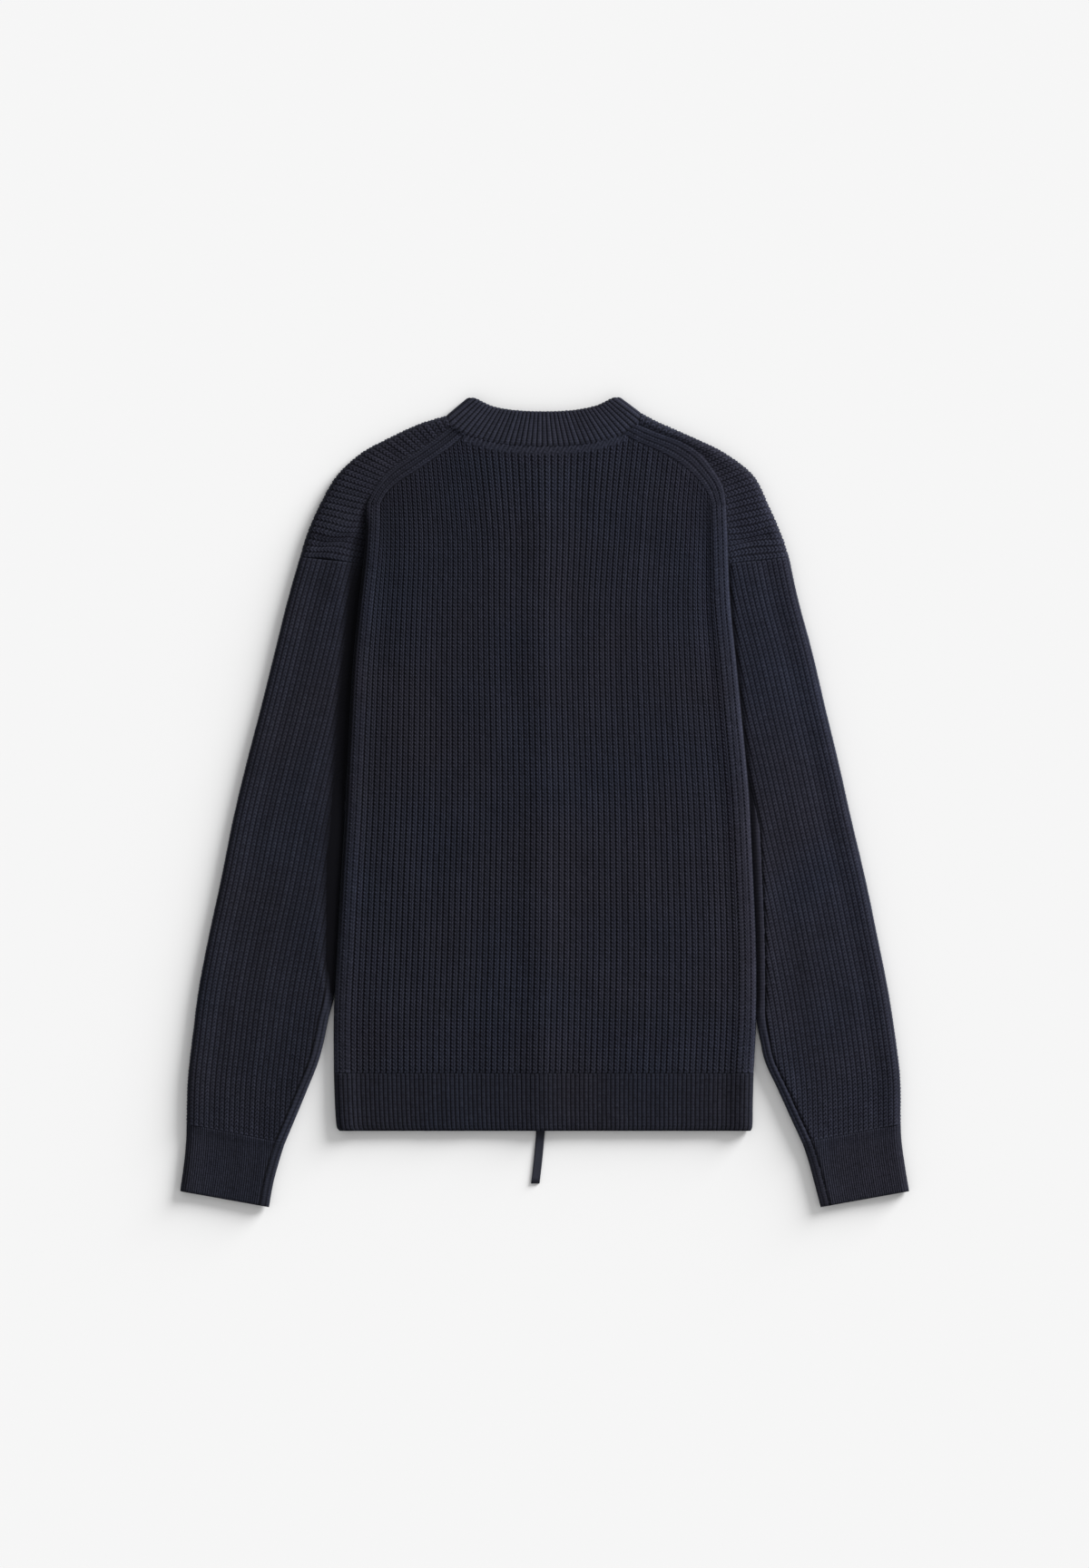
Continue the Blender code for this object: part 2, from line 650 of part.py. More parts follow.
def tube_section(outer_edge, inner_edge, closed, base, fold_puff, under_puff, ribs, relief):
    """One section of a sleeve or cuff, from its underarm seam over the top and back below."""
    width = (inner_edge - outer_edge).length
    inward = (inner_edge - outer_edge).normalized()
    roll = width - SIDE_REACH             # where the flat of the top layer ends
    puff_in = width - PUFF_REACH

    def level(distance):
        """Height of the cloth, distance in from the outer fold."""
        under = under_puff * (1 - smooth(SIDE_REACH, PUFF_REACH, width - distance))
        return base + fold_puff * (1 - smooth(FOLD_REACH, PUFF_REACH, distance)) + under

    def at(distance, height):
        return spatial(outer_edge + inward * distance, height)

    edge = lerp(ARMHOLE_EDGE, SIDE_TOP, closed)
    beside = lerp((ARMHOLE_EDGE + level(roll)) / 2,
                  rolled(ROLL_STEP, SIDE_TOP, level(roll), SIDE_REACH), closed)
    outer = [at(width, edge), at(width - ROLL_STEP, beside), at(roll, level(roll))]
    spots = [width, width - ROLL_STEP, roll]
    for k in range(2 * ribs, -1, -1):
        spot = min(FOLD_REACH + k * SLEEVE_PITCH / 2, roll)
        lift = relief * (k % 2) * smooth(0, RELIEF_FADE, roll - spot)
        outer.append(at(spot, level(spot) + lift))
        spots.append(spot)
    start = outer_edge + inward * FOLD_REACH
    crown = level(FOLD_REACH)
    outer += [folded(start, -inward, angle, crown) for angle in TUBE_ANGLES]
    outer += [at(roll, 0.0), at(width - ROLL_STEP, ROLL_LIFT * SIDE_FOOT * closed),
              at(width, SIDE_FOOT * closed)]

    seam_in = width - BACK_WALL * closed
    inner = [at(seam_in, lerp(ARMHOLE_EDGE - EDGE_WALL, SIDE_TOP, closed))]
    inner += [at(spot, level(spot) - BACK_WALL) for spot in (roll, puff_in, PUFF_REACH, FOLD_REACH)]
    inner += [folded(start, -inward, angle, crown, BACK_WALL) for angle in TUBE_ANGLES[1::2]]
    inner += [at(roll, FRONT_WALL), at(seam_in, lerp(FRONT_WALL, SIDE_FOOT, closed))]

    def nearest(target):
        return min(range(3, len(spots) - 1), key=lambda i: abs(spots[i] - target))

    last = len(spots) - 1
    ties = [(0, 0), (2, 1), (nearest(puff_in), 2), (nearest(PUFF_REACH), 3), (last, 4),
            (last + 2, 5), (last + 4, 6), (last + 5, 7), (last + 7, 8)]
    return outer, inner, ties


def sleeve_ends(row, side, body_y=None):
    """Outer and inner plan ends of a sleeve's row."""
    outer = Vector((pick(row, side), row.y))
    if row.inner_left is None:
        return outer, Vector((side_edge(side, body_y) + side * SEAM, body_y))
    inner_x = row.inner_left if side == LEFT else row.inner_right
    return outer, Vector((inner_x, row.y - row.fall))


def build_sleeve(name, side, material):
    shell = Shell()
    sections = []
    armhole_rows = [row.y for row in BODY_SIDES[UNDERARM_ROW:ARMHOLE_TOP_ROW + 1]][::-1]
    for row, body_y in zip(SLEEVE_ARMHOLE, armhole_rows):
        outer, inner = sleeve_ends(row, side, body_y)
        if row is SLEEVE_ARMHOLE[0]:
            outer.y -= SEAM
            inner.y -= SEAM
            inner.x = side_edge(side, inner.y) + side * SEAM
        sections.append(tube_section(outer, inner, 0, SLEEVE_LEVEL, SLEEVE_FOLD_PUFF,
                                     SLEEVE_ARMHOLE_PUFF, SLEEVE_RIBS, RELIEF))
    for row in SLEEVE_FREE:
        outer, inner = sleeve_ends(row, side)
        sections.append(tube_section(outer, inner, 1, SLEEVE_LEVEL, SLEEVE_FOLD_PUFF,
                                     SLEEVE_UNDERARM_PUFF, SLEEVE_RIBS, RELIEF))
    shell.wall([section[0] for section in sections], [section[1] for section in sections],
               (sections[0][2], sections[-1][2]))
    return shell.build(name, material)


CUFF_RIBS = 3


def build_cuff(name, side, material):
    shell = Shell()
    sections = []
    for row in CUFF_ROWS:
        outer, inner = sleeve_ends(row, side)
        sections.append(tube_section(outer, inner, 1, CUFF_LEVEL, CUFF_PUFF, CUFF_PUFF,
                                     CUFF_RIBS, 0.0))
    shell.wall([section[0] for section in sections], [section[1] for section in sections],
               (sections[0][2], sections[-1][2]))
    return shell.build(name, material)


# ---------------------------------------------------------------- collar

Station = namedtuple("Station", "seam top seam_out top_out angle peak")
COLLAR_ACROSS = (0.0, 0.5, 0.93)      # outer points from the seam, before the rounded rim


def collar_fold_ends(side):
    """Where the collar's two edges leave the flat of the back, and their outward directions."""
    outline = OUTLINE[side].at(0.0)
    seam_out = (outline - yoke_seam_at(side, 0)).normalized()
    tip = Vector(COLLAR_TIP[side])
    along = tip - outline
    top_out = Vector((along.y * side, -along.x * side)).normalized()
    if top_out.y < 0:
        top_out = -top_out
    return outline - seam_out * FOLD_REACH, tip - top_out * FOLD_REACH, seam_out, top_out


def collar_stations():
    """The band's lines from the left zip edge, over the back of the neck, to the right one."""
    flat = Vector((0.0, 0.0))
    ends = {side: collar_fold_ends(side) for side in (LEFT, RIGHT)}

    def front_half(side):
        _, top_start, _, _ = ends[side]
        neck = front_neck(side)
        points = [(-side * x, y) for x, y in FRONT_COLLAR_POINTS]
        points[0] = (zip_line(points[0][1]) + side * ZIP_OPENING, points[0][1])
        top_path = Path(points + [tuple(top_start)])
        return [Station(neck[i], top_path.at(i / FRONT_STEPS), flat, flat, math.pi, 0)
                for i in range(FRONT_STEPS + 1)]

    def fold(side):
        seam_start, top_start, seam_out, top_out = ends[side]
        steps = 2 * FOLD_STEPS
        return [Station(seam_start, top_start, seam_out, top_out, math.pi * (1 - i / steps),
                        i % 2) for i in range(1, steps)]

    neck = [Vector(ends[LEFT][0]), Vector(SHOULDER[LEFT].at(0.0))] + list(NECKLINE.points) + \
        [Vector(SHOULDER[RIGHT].at(0.0)), Vector(ends[RIGHT][0])]
    seam_path = Path(neck, rounded=False)
    top_path = Path([tuple(ends[LEFT][1])] + COLLAR_TOP_POINTS + [tuple(ends[RIGHT][1])])
    count = 2 * COLLAR_RIBS
    back = [Station(seam_path.at(i / count), top_path.at(i / count), flat, flat, 0.0, i % 2)
            for i in range(count + 1)]
    return front_half(LEFT) + fold(LEFT) + back + fold(RIGHT)[::-1] + front_half(RIGHT)[::-1]


def collar_shift(stations, index):
    """Moves a line's seam end off the neckline, square to it."""
    before = stations[max(index - 1, 0)]
    after = stations[min(index + 1, len(stations) - 1)]
    reach = math.sin(before.angle), math.sin(after.angle)
    start = before.seam + before.seam_out * FOLD_REACH * reach[0]
    end = after.seam + after.seam_out * FOLD_REACH * reach[1]
    along = end - start
    across = stations[index].top - stations[index].seam
    square = Vector((-along.y, along.x))
    if square.length < 1e-6:
        square = across
    if square.dot(across) < 0:
        square = -square
    return square.normalized() * SEAM


def collar_line(stations, index):
    """Outer points from the seam to the top edge, and the two inner points."""
    station = stations[index]
    shift = collar_shift(stations, index)

    def point(across, wall=None):
        start = (station.seam + shift).lerp(station.top, across)
        out = station.seam_out.lerp(station.top_out, across)
        spot = folded(start, out, station.angle, COLLAR_LEVEL, wall)
        if wall is None:
            weight = station.peak * FINE_RELIEF * min(1.0, 2 * (1 - station.angle / math.pi))
            spot = raised(spot, out, station.angle, weight)
        return spot

    outer = [point(across) for across in COLLAR_ACROSS]
    inner = [point(across, BACK_WALL) for across in (COLLAR_ACROSS[-1], COLLAR_ACROSS[0])]
    rim = (point(1.0) + point(1.0, BACK_WALL)) / 2
    return outer, rim, inner


def build_collar(material):
    shell = Shell()
    stations = collar_stations()
    lines = [collar_line(stations, i) for i in range(len(stations))]
    coarse = lines[::2]
    shell.grid([outer + [rim] for outer, rim, inner in lines])
    shell.grid([inner for outer, rim, inner in coarse])
    shell.rim([rim for outer, rim, inner in lines], [inner[0] for outer, rim, inner in coarse])
    shell.rim([outer[0] for outer, rim, inner in lines], [inner[1] for outer, rim, inner in coarse])
    for outer, rim, inner in (lines[0], lines[-1]):
        shell.face(outer + [rim] + inner)
    return shell.build("collar", material)


# ---------------------------------------------------------------- zip

def box(shell, xs, ys, zs, lean=None):
    """A box between two y values; lean gives the x of its middle line at each of them."""
    lean = lean or zip_line
    corners = [[[Vector((lean(y) + x, y, z)) for z in zs] for y in ys] for x in xs]
    for a in (0, 1):
        shell.face([corners[a][0][0], corners[a][0][1], corners[a][1][1], corners[a][1][0]])
        shell.face([corners[0][a][0], corners[0][a][1], corners[1][a][1], corners[1][a][0]])
        shell.face([corners[0][0][a], corners[0][1][a], corners[1][1][a], corners[1][0][a]])


def build_tapes(material):
    ends = (ZIP_FOOT[1] + TAPE["foot_in"], ZIP_TOP[1] - TAPE["head_in"])
    heights = (TAPE["bottom"], TAPE["bottom"] + TAPE["thick"])
    for name, side in (("zip_tape_left", LEFT), ("zip_tape_right", RIGHT)):
        shell = Shell()
        box(shell, (side * TAPE["inner"], side * TAPE["outer"]), ends, heights)
        shell.build(name, material)


POST = {"half": 1.2, "length": 3.6, "inset": 1.5, "sunk": 0.2}    # its ends are in both plates


def build_chain(material):
    """The closed teeth, which end at the posts of the two sliders."""
    clear = POST["inset"] + POST["length"] + SEAM
    low = SLIDER_Y["slider_bottom"] + clear
    high = SLIDER_Y["slider_top"] + SLIDER["length"] - clear
    shell = Shell()
    box(shell, (-CHAIN["half"], CHAIN["half"]), (low, high), (CHAIN["bottom"], CHAIN["top"]))
    shell.build("zip_chain", material)


def slider_blocks(name):
    """The slider's boxes as (x, y, z) spans: two plates, the post, two arms and the pull's bar."""
    low = SLIDER_Y[name]
    high = low + SLIDER["length"]
    half = SLIDER["half"]
    plate = SLIDER["plate"]
    post = (low + POST["inset"], low + POST["inset"] + POST["length"])
    if name == "slider_top":
        post = (high - POST["inset"] - POST["length"], high - POST["inset"])
    bar = low - SLIDER["bar_out"]
    blocks = [((-half, half), (low, high), (SLIDER["low"], SLIDER["low"] + plate)),
              ((-half, half), (low, high), (SLIDER["high"], SLIDER["high"] + plate)),
              ((-POST["half"], POST["half"]), post,
               (SLIDER["low"] + POST["sunk"], SLIDER["high"] + POST["sunk"])),
              ((-half, half), (bar, bar + SLIDER["bar_thick"]),
               (SLIDER["bar_low"], SLIDER["bar_low"] + SLIDER["bar_thick"]))]
    for side in (LEFT, RIGHT):
        xs = sorted((side * (half - SLIDER["arm"]), side * half))
        blocks.append((xs, (bar, low + SLIDER["arm_in"]), (SLIDER["bar_low"], SLIDER["low"] + plate)))
    return blocks


def build_slider(name, material):
    """A slider fused from its blocks, which overlap or share faces."""
    parts = []
    middle = zip_line(SLIDER_Y[name])
    for number, (xs, ys, zs) in enumerate(slider_blocks(name)):
        shell = Shell()
        box(shell, xs, ys, zs, lean=lambda y: middle)
        parts.append(shell.build(f"{name}_block_{number}" if number else name, material))
    body = parts[0]
    for part in parts[1:]:
        join = body.modifiers.new("join", "BOOLEAN")
        join.operation = "UNION"
        join.object = part
        part.hide_render = True
        part.display_type = "WIRE"
    return body


def build_pull(name, slider, material):
    """A folded tape: it loops round the slider's bar and its two layers lie on the surface."""
    bar = SLIDER_Y[slider] - SLIDER["bar_out"]
    thick, slit = PULL["thick"], PULL["slit"]
    bend = bar + SLIDER["bar_thick"] + SEAM       # inner side of the loop's bend
    above = SLIDER["bar_low"] + SLIDER["bar_thick"] + SEAM
    below = SLIDER["bar_low"] - SEAM
    flat = bend - PULL["rise"]
    end = bend + thick - PULL["length"]
    kink = flat - PULL["bend"]
    middle = zip_line(SLIDER_Y[slider])

    behind = bar - PULL["bend"]
    crown = bend + thick - PULL["round"]

    def lean(y):
        return interpolate([(end, middle + PULL_LEAN[name]), (bend, middle)], y)

    profile = [(end, 0.0), (kink, 0.0), (bend, below - thick), (crown, below - PULL["round"]),
               (bend + thick, (above + below) / 2), (crown, above + PULL["round"]),
               (bend, above + thick), (behind, above + thick), (flat, 2 * thick + slit),
               (end, 2 * thick + slit), (end, thick + slit), (flat, thick + slit),
               (behind, above), (bend, above), (bend, below), (behind, below),
               (kink, thick), (end, thick)]
    shell = Shell()
    caps = []
    for side in (LEFT, RIGHT):
        caps.append([Vector((lean(y) + side * PULL["half"], y, z)) for y, z in profile])
        shell.face(caps[-1])
    shell.strip(caps[0] + caps[0][:1], caps[1] + caps[1][:1])
    return shell.build(name, material)


# ---------------------------------------------------------------- the garment

def clear_scene():
    for obj in list(bpy.data.objects):
        bpy.data.objects.remove(obj, do_unlink=True)


def stand_on_origin():
    """Carries every piece on one empty, which puts the outline's middle at the origin."""
    pieces = [obj for obj in bpy.data.objects if obj.type == "MESH"]
    corners = [vert.co for obj in pieces for vert in obj.data.vertices]
    middle = [(min(c[axis] for c in corners) + max(c[axis] for c in corners)) / 2
              for axis in (0, 1)]
    garment = bpy.data.objects.new("cardigan", None)
    bpy.context.collection.objects.link(garment)
    for obj in pieces:
        obj.parent = garment
    garment.location = (-middle[0], -middle[1], 0.0)


def main():
    clear_scene()
    knit = make_material("knit", KNIT_COLOUR, KNIT_ROUGHNESS)
    rib = make_material("rib", KNIT_COLOUR, KNIT_ROUGHNESS)
    tape = make_material("zip_tape", TAPE_COLOUR, TAPE_ROUGHNESS)
    metal = make_material("zip_metal", METAL_COLOUR, METAL_ROUGHNESS, metallic=METALLIC)
    build_back(knit)
    build_front("left_front", LEFT, knit)
    build_front("right_front", RIGHT, knit)
    build_sleeve("left_sleeve", LEFT, knit)
    build_sleeve("right_sleeve", RIGHT, knit)
    build_cuff("left_cuff", LEFT, rib)
    build_cuff("right_cuff", RIGHT, rib)
    build_hem_back(rib)
    build_hem_front("hem_left_front", LEFT, rib)
    build_hem_front("hem_right_front", RIGHT, rib)
    build_collar(rib)
    build_tapes(tape)
    build_chain(metal)
    for pull, slider in (("pull_bottom", "slider_bottom"), ("pull_top", "slider_top")):
        build_slider(slider, metal)
        build_pull(pull, slider, tape)
    stand_on_origin()


main()
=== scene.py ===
"""Looks of the knitted zip-up cardigan that lies flat with its back up.

The ribs and V-shaped stitches of every knitted piece are raised in its mesh, over the same
surfaces as the solids have.  Lengths are in millimetres until a mesh is written.  +X is to the
right seen from above, +Y runs towards the collar and +Z is up from the surface at zero.
"""
import math
from collections import namedtuple

import bmesh
import bpy
import numpy as np
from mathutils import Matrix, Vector


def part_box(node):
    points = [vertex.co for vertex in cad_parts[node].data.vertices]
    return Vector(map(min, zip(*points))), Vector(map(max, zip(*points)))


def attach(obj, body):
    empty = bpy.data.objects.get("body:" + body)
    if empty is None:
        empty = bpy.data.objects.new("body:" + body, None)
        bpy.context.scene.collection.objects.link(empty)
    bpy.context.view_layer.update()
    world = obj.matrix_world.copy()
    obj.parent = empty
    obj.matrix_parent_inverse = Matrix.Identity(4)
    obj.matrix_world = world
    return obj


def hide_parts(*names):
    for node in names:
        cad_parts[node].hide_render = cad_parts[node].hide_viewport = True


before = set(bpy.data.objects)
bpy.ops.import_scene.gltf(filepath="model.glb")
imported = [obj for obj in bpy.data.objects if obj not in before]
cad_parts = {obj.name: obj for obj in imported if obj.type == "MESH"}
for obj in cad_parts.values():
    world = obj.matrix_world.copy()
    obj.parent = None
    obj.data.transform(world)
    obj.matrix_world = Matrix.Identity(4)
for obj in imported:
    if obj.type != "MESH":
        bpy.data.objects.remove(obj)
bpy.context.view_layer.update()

MM = 0.001
LEFT, RIGHT = -1, 1
SIDES = ((LEFT, "left"), (RIGHT, "right"))
SEAM = 0.3
TUCK = 0.5                    # how far an edge goes under its neighbour, so that no light shows

# Heights above the surface, and wall thicknesses
FRONT_WALL = 3.6
BACK_WALL = 3.5
HEM_WALL = 3.2
EDGE_WALL = 2.9
BACK_LEVEL = 9.0
BACK_EDGE_LEVEL = 11.2
ZIP_RIDGE = 1.7
ZIP_RIDGE_WIDTH = 18.0
SIDE_SEAM = 5.4
SIDE_TOP = SIDE_SEAM + SEAM / 2
SIDE_FOOT = SIDE_SEAM - SEAM / 2
ARMHOLE_EDGE = 7.0
SHOULDER_SEAM = 8.3
HEM_LEVEL = 8.6
COLLAR_LEVEL = 9.6
YOKE_LEVEL = 10.2
FOLD_REACH = 7.0
SIDE_REACH = 9.0
PUFF_REACH = 26.0
FRONT_ROLL = 6.0
RELIEF_FADE = 4.0             # ribs rise over this much from a rolled edge
LEAN_START, LEAN_POWER = -60.0, 3    # wales fan outwards above this height

# Stitches.  A wale is one column of V stitches and a course is one row of them.
BAND_WALES = 3
SHOULDER_WALES = 21
NECK_WALES = 24
BACK_WALES = 2 * BAND_WALES + 2 * SHOULDER_WALES + NECK_WALES
BACK_COURSE = 3.6
YOKE_RIBS = 32
YOKE_COURSE = 3.6
HEM_RIBS = 94
HEM_COURSE = 3.0
COLLAR_RIBS = 37
COLLAR_COURSE = 2.9
LEG = 0.30                    # from a wale's gap to the crown of its leg
WALE_PHASES = (0.0, LEG, 0.5, 1.0 - LEG)
PER_WALE = len(WALE_PHASES)   # points across a wale
PER_COURSE = 2                # points along a course
FOLD_COURSES = 5              # courses of a yoke round its fold
FRONT_HALF = 29               # ribs of each half of the collar under the back
COLLAR_FOLD_RIBS = 4
END_LIFT = 0.6                # share of the lift that is left where stitches end
LIFT_EDGE = (-2.0, 1.0)       # a stitch's lift fades over these distances from an edge
RELIEF_EDGE = (0.0, 2.5)      # and its relief over these
BACK_SEED, BAND_SEED, YOKE_SEED, HEM_SEED = 1, 5, 11, 21
COLLAR_SEED, SLEEVE_SEED, CUFF_SEED = 31, 41, 51

# How far stitches stand over the solids' rib valleys, and how deep their gaps are
BACK_RELIEF = 1.2
BACK_DEEP = 0.8
RIB_RELIEF = 0.8
RIB_DEEP = 0.3
LAYER_TOP = FRONT_WALL + 0.1  # the underside of a sleeve's top layer goes no lower
SUNK = 5.2                    # the knitted side of a fold beside the body goes no lower
VALLEY_PAINTED_SHADE = 0.97           # painted shade: how much the yarn darkens in the deep fold beside the body
EDGE_PAINTED_SHADE = (0.5, 6.5)       # painted shade on the back's edge beside it fades out over this distance
FOLD_PRESS = 0.35             # how much flatter the ribs are where they turn round a fold
CUFF_STEP = 0.9               # the cuff starts level with its sleeve
CUFF_EASE = 9.0
CUFF_ROUND = 1.6
CUFF_DROP = 1.2
TIP_ROUND = 7.0               # radius of the collar's two folded tips
SCALLOP = 1.1                 # how far its ribs stand out past the valleys at the top edge
RIM_START, RIM_DROP, RIM_PAINTED_SHADE = 0.9, 2.4, 0.3    # its top edge rounds off; its stitches flatten and painted shade darkens it

# The flat underside
FRONT_WALE = 5.2
HEM_WALE = 3.9
UNDER_ROW = 22.0
UNDER_POINTS = 3              # points to a rib
UNDER_RELIEF = 0.9
UNDER_TOP = 2.0
FLAT_LIFT = 0.8

# Outlines, as in the solids
Side = namedtuple("Side", "y left right closed seam")
BODY_SIDES = [
    Side(-261.6, -203.0, 201.5, 1, SIDE_TOP),
    Side(-205.0, -203.0, 204.2, 1, SIDE_TOP),
    Side(-140.0, -199.8, 204.2, 1, SIDE_TOP),
    Side(-75.0, -196.3, 201.7, 1, SIDE_TOP),
    Side(-14.0, -192.5, 198.6, 1, SIDE_TOP),
    Side(28.0, -190.4, 195.3, 0, ARMHOLE_EDGE),
    Side(80.5, -187.8, 190.2, 0, ARMHOLE_EDGE),
    Side(134.75, -184.6, 184.8, 0, ARMHOLE_EDGE),
    Side(189.0, -179.3, 179.3, 0, ARMHOLE_EDGE),
    Side(229.3, -174.7, 177.2, 0, ARMHOLE_EDGE),
    Side(258.0, -172.4, 176.3, 0, 7.2),
    Side(287.0, -171.5, 175.0, 0, 7.8),
]
UNDERARM_ROW = 5
ARMHOLE_TOP_ROW = 9
SHOULDER_TOP = 300.0

HemRow = namedtuple("HemRow", "y left right drop")
HEM_ROWS = [
    HemRow(-261.2, -203.0, 201.5, 0.0),
    HemRow(-290.0, -202.0, 200.8, 0.0),
    HemRow(-312.0, -200.4, 200.4, 0.3),
    HemRow(-316.75, -197.5, 198.5, 1.6),
]

Sleeve = namedtuple("Sleeve", "y left right fall inner_left inner_right")
SLEEVE_ARMHOLE = [
    Sleeve(235.8, -235.4, 235.4, 6.5, None, None),
    Sleeve(196.0, -246.8, 244.1, 7.0, None, None),
    Sleeve(143.5, -259.9, 258.1, 8.75, None, None),
    Sleeve(91.0, -273.0, 270.4, 10.5, None, None),
    Sleeve(38.5, -286.6, 283.1, 10.5, None, None),
]
SLEEVE_FREE = [
    Sleeve(-14.0, -299.2, 294.9, 12.2, -194.2, 200.8),
    Sleeve(-75.2, -311.5, 309.3, 13.0, -198.6, 204.9),
    Sleeve(-127.7, -322.9, 320.2, 13.0, -202.6, 206.4),
    Sleeve(-180.2, -332.9, 330.7, 13.0, -206.3, 207.0),
    Sleeve(-228.4, -339.1, 338.2, 13.0, -215.2, 210.0),
    Sleeve(-267.7, -343.4, 342.6, 13.0, -230.1, 226.6),
    Sleeve(-310.6, -344.7, 343.0, 18.4, -250.2, 248.5),
]
CUFF_ROWS = [
    Sleeve(-310.9, -344.7, 343.0, 18.4, -250.2, 248.5),
    Sleeve(-327.2, -345.2, 343.9, 18.3, -255.5, 254.2),
    Sleeve(-350.0, -347.4, 347.0, 16.6, -261.2, 259.9),
    Sleeve(-375.0, -350.9, 351.2, 15.3, -265.5, 266.1),
]
OUTLINE_POINTS = {
    LEFT: [(-94.5, 372.3), (-121.6, 364.0), (-151.4, 350.0), (-176.8, 336.0), (-199.5, 315.0),
           (-216.1, 287.0), (-228.4, 259.0), (-235.4, 235.8)],
    RIGHT: [(92.8, 374.9), (112.9, 364.6), (146.1, 350.0), (174.1, 336.0), (200.8, 315.0),
            (215.2, 287.0), (227.5, 259.0), (235.4, 235.8)],
}
SEAM_POINTS = {
    LEFT: [(-90.1, 362.3), (-105.0, 350.9), (-122.5, 338.6), (-140.0, 327.3), (-154.0, 315.9),
           (-164.5, 301.0), (-171.5, 287.0)],
    RIGHT: [(90.1, 364.0), (111.0, 355.5), (133.0, 347.6), (150.5, 336.0), (162.8, 320.3),
            (172.0, 304.5), (175.0, 287.0)],
}
BAND_POINTS = {
    LEFT: [(-77.0, 354.4), (-87.5, 344.8), (-103.2, 333.4), (-122.5, 320.2), (-139.1, 309.8),
           (-150.5, 300.1), (-157.5, 288.8)],
    RIGHT: [(77.0, 354.9), (90.1, 347.2), (110.2, 338.5), (129.5, 327.5), (145.2, 314.0),
            (155.8, 300.1), (160.9, 288.0)],
}
NECKLINE_POINTS = [(-77.0, 354.4), (-50.0, 347.0), (-25.0, 344.2), (0.0, 343.4), (25.0, 344.2),
                   (50.0, 347.2), (77.0, 354.9)]
COLLAR_TIP = {LEFT: (-71.1, 392.0), RIGHT: (70.0, 392.2)}
COLLAR_TOP_POINTS = [(-50.1, 382.1), (-34.1, 378.9), (-18.0, 377.4), (0.0, 377.0), (18.0, 377.5),
                     (34.1, 379.2), (50.1, 382.8)]
FRONT_NECK_POINTS = [(-7.0, 264.0), (-45.5, 280.9), (-71.8, 312.4), (-87.5, 344.8)]
FRONT_COLLAR_POINTS = [(-6.5, 301.0), (-26.2, 311.0), (-43.8, 333.0), (-58.6, 361.0)]

ZIP_TOP = (0.0, 301.0)
ZIP_FOOT = (-3.5, -316.75)
ZIP_OPENING = 6.5

# The photograph's frame, seen from straight above
PHOTO_TALL = 1.512            # what the picture spans at the surface, in metres
PHOTO_MIDDLE = (0.0, 0.0175)
CAMERA_HEIGHT = 9.0
SENSOR = 36.0


# ---------------------------------------------------------------- plan geometry

TINY = 1e-9
NEAR = 1e-6
CURVE_STEPS = 24              # points between two points of a smooth curve


def lerp(a, b, t):
    return a + (b - a) * t


def smooth(low, high, value):
    """0 below low, 1 above high, with a soft step between."""
    t = np.clip((value - low) / (high - low), 0.0, 1.0)
    return t * t * (3 - 2 * t)


def joined(*parts):
    """Coordinates put side by side along a last axis."""
    return np.stack(np.broadcast_arrays(*parts), axis=-1)


def stack(plan, height):
    """Plan points with their heights, or with one height for all."""
    height = np.broadcast_to(height, plan.shape[:-1])
    return np.concatenate([plan, height[..., None]], axis=-1)


def length_of(vectors):
    return np.linalg.norm(vectors, axis=-1)


def square_to(along):
    """Plan vectors turned a quarter to the left."""
    return joined(-along[..., 1], along[..., 0])


def unit(vectors):
    return vectors / np.maximum(length_of(vectors), TINY)[..., None]


def rounded(points, steps=CURVE_STEPS):
    """Catmull-Rom curve through the points."""
    points = np.array(points, float)
    ends = np.vstack([2 * points[0] - points[1], points, 2 * points[-1] - points[-2]])
    t = (np.arange(steps) / steps)[:, None]
    curve = []
    for a, b, c, d in zip(ends, ends[1:], ends[2:], ends[3:]):
        curve.append(0.5 * (2 * b + (c - a) * t + (2 * a - 5 * b + 4 * c - d) * t ** 2
                            + (3 * b - a - 3 * c + d) * t ** 3))
    return np.vstack(curve + [points[-1:]])


def gone_along(points):
    """Length of a line up to each of its points."""
    return np.concatenate([[0.0], np.cumsum(length_of(np.diff(points, axis=0)))])


class Path:
    """A plan curve that is read by its fraction of length."""

    def __init__(self, points, smoothly=True):
        self.points = rounded(points) if smoothly else np.array(points, float)
        self.lengths = gone_along(self.points)

    def at(self, fraction):
        target = np.clip(fraction, 0, 1) * self.lengths[-1]
        return joined(*[np.interp(target, self.lengths, values) for values in self.points.T])


def curve_reader(pairs):
    """Smooth reading of (key, value) pairs whose keys rise."""
    line = rounded(pairs)
    order = np.argsort(line[:, 0])
    return lambda value: np.interp(value, line[order, 0], line[order, 1])


def side_of(row, side):
    return row.left if side == LEFT else row.right


SIDE_EDGE = {side: curve_reader([(row.y, side_of(row, side)) for row in BODY_SIDES])
             for side, _ in SIDES}
OUTLINE = {side: Path(points) for side, points in OUTLINE_POINTS.items()}
SHOULDER = {side: Path(points) for side, points in SEAM_POINTS.items()}
BAND = {side: Path(points) for side, points in BAND_POINTS.items()}
NECKLINE = Path(NECKLINE_POINTS)


def seam_height(y):
    keys = [row.y for row in BODY_SIDES] + [SHOULDER_TOP]
    return np.interp(y, keys, [row.seam for row in BODY_SIDES] + [SHOULDER_SEAM])


def side_closed(y):
    """1 beside a side seam and 0 round the armhole."""
    return np.interp(y, [row.y for row in BODY_SIDES], [row.closed for row in BODY_SIDES])


def zip_line(y):
    return lerp(ZIP_FOOT[0], ZIP_TOP[0], (y - ZIP_FOOT[1]) / (ZIP_TOP[1] - ZIP_FOOT[1]))


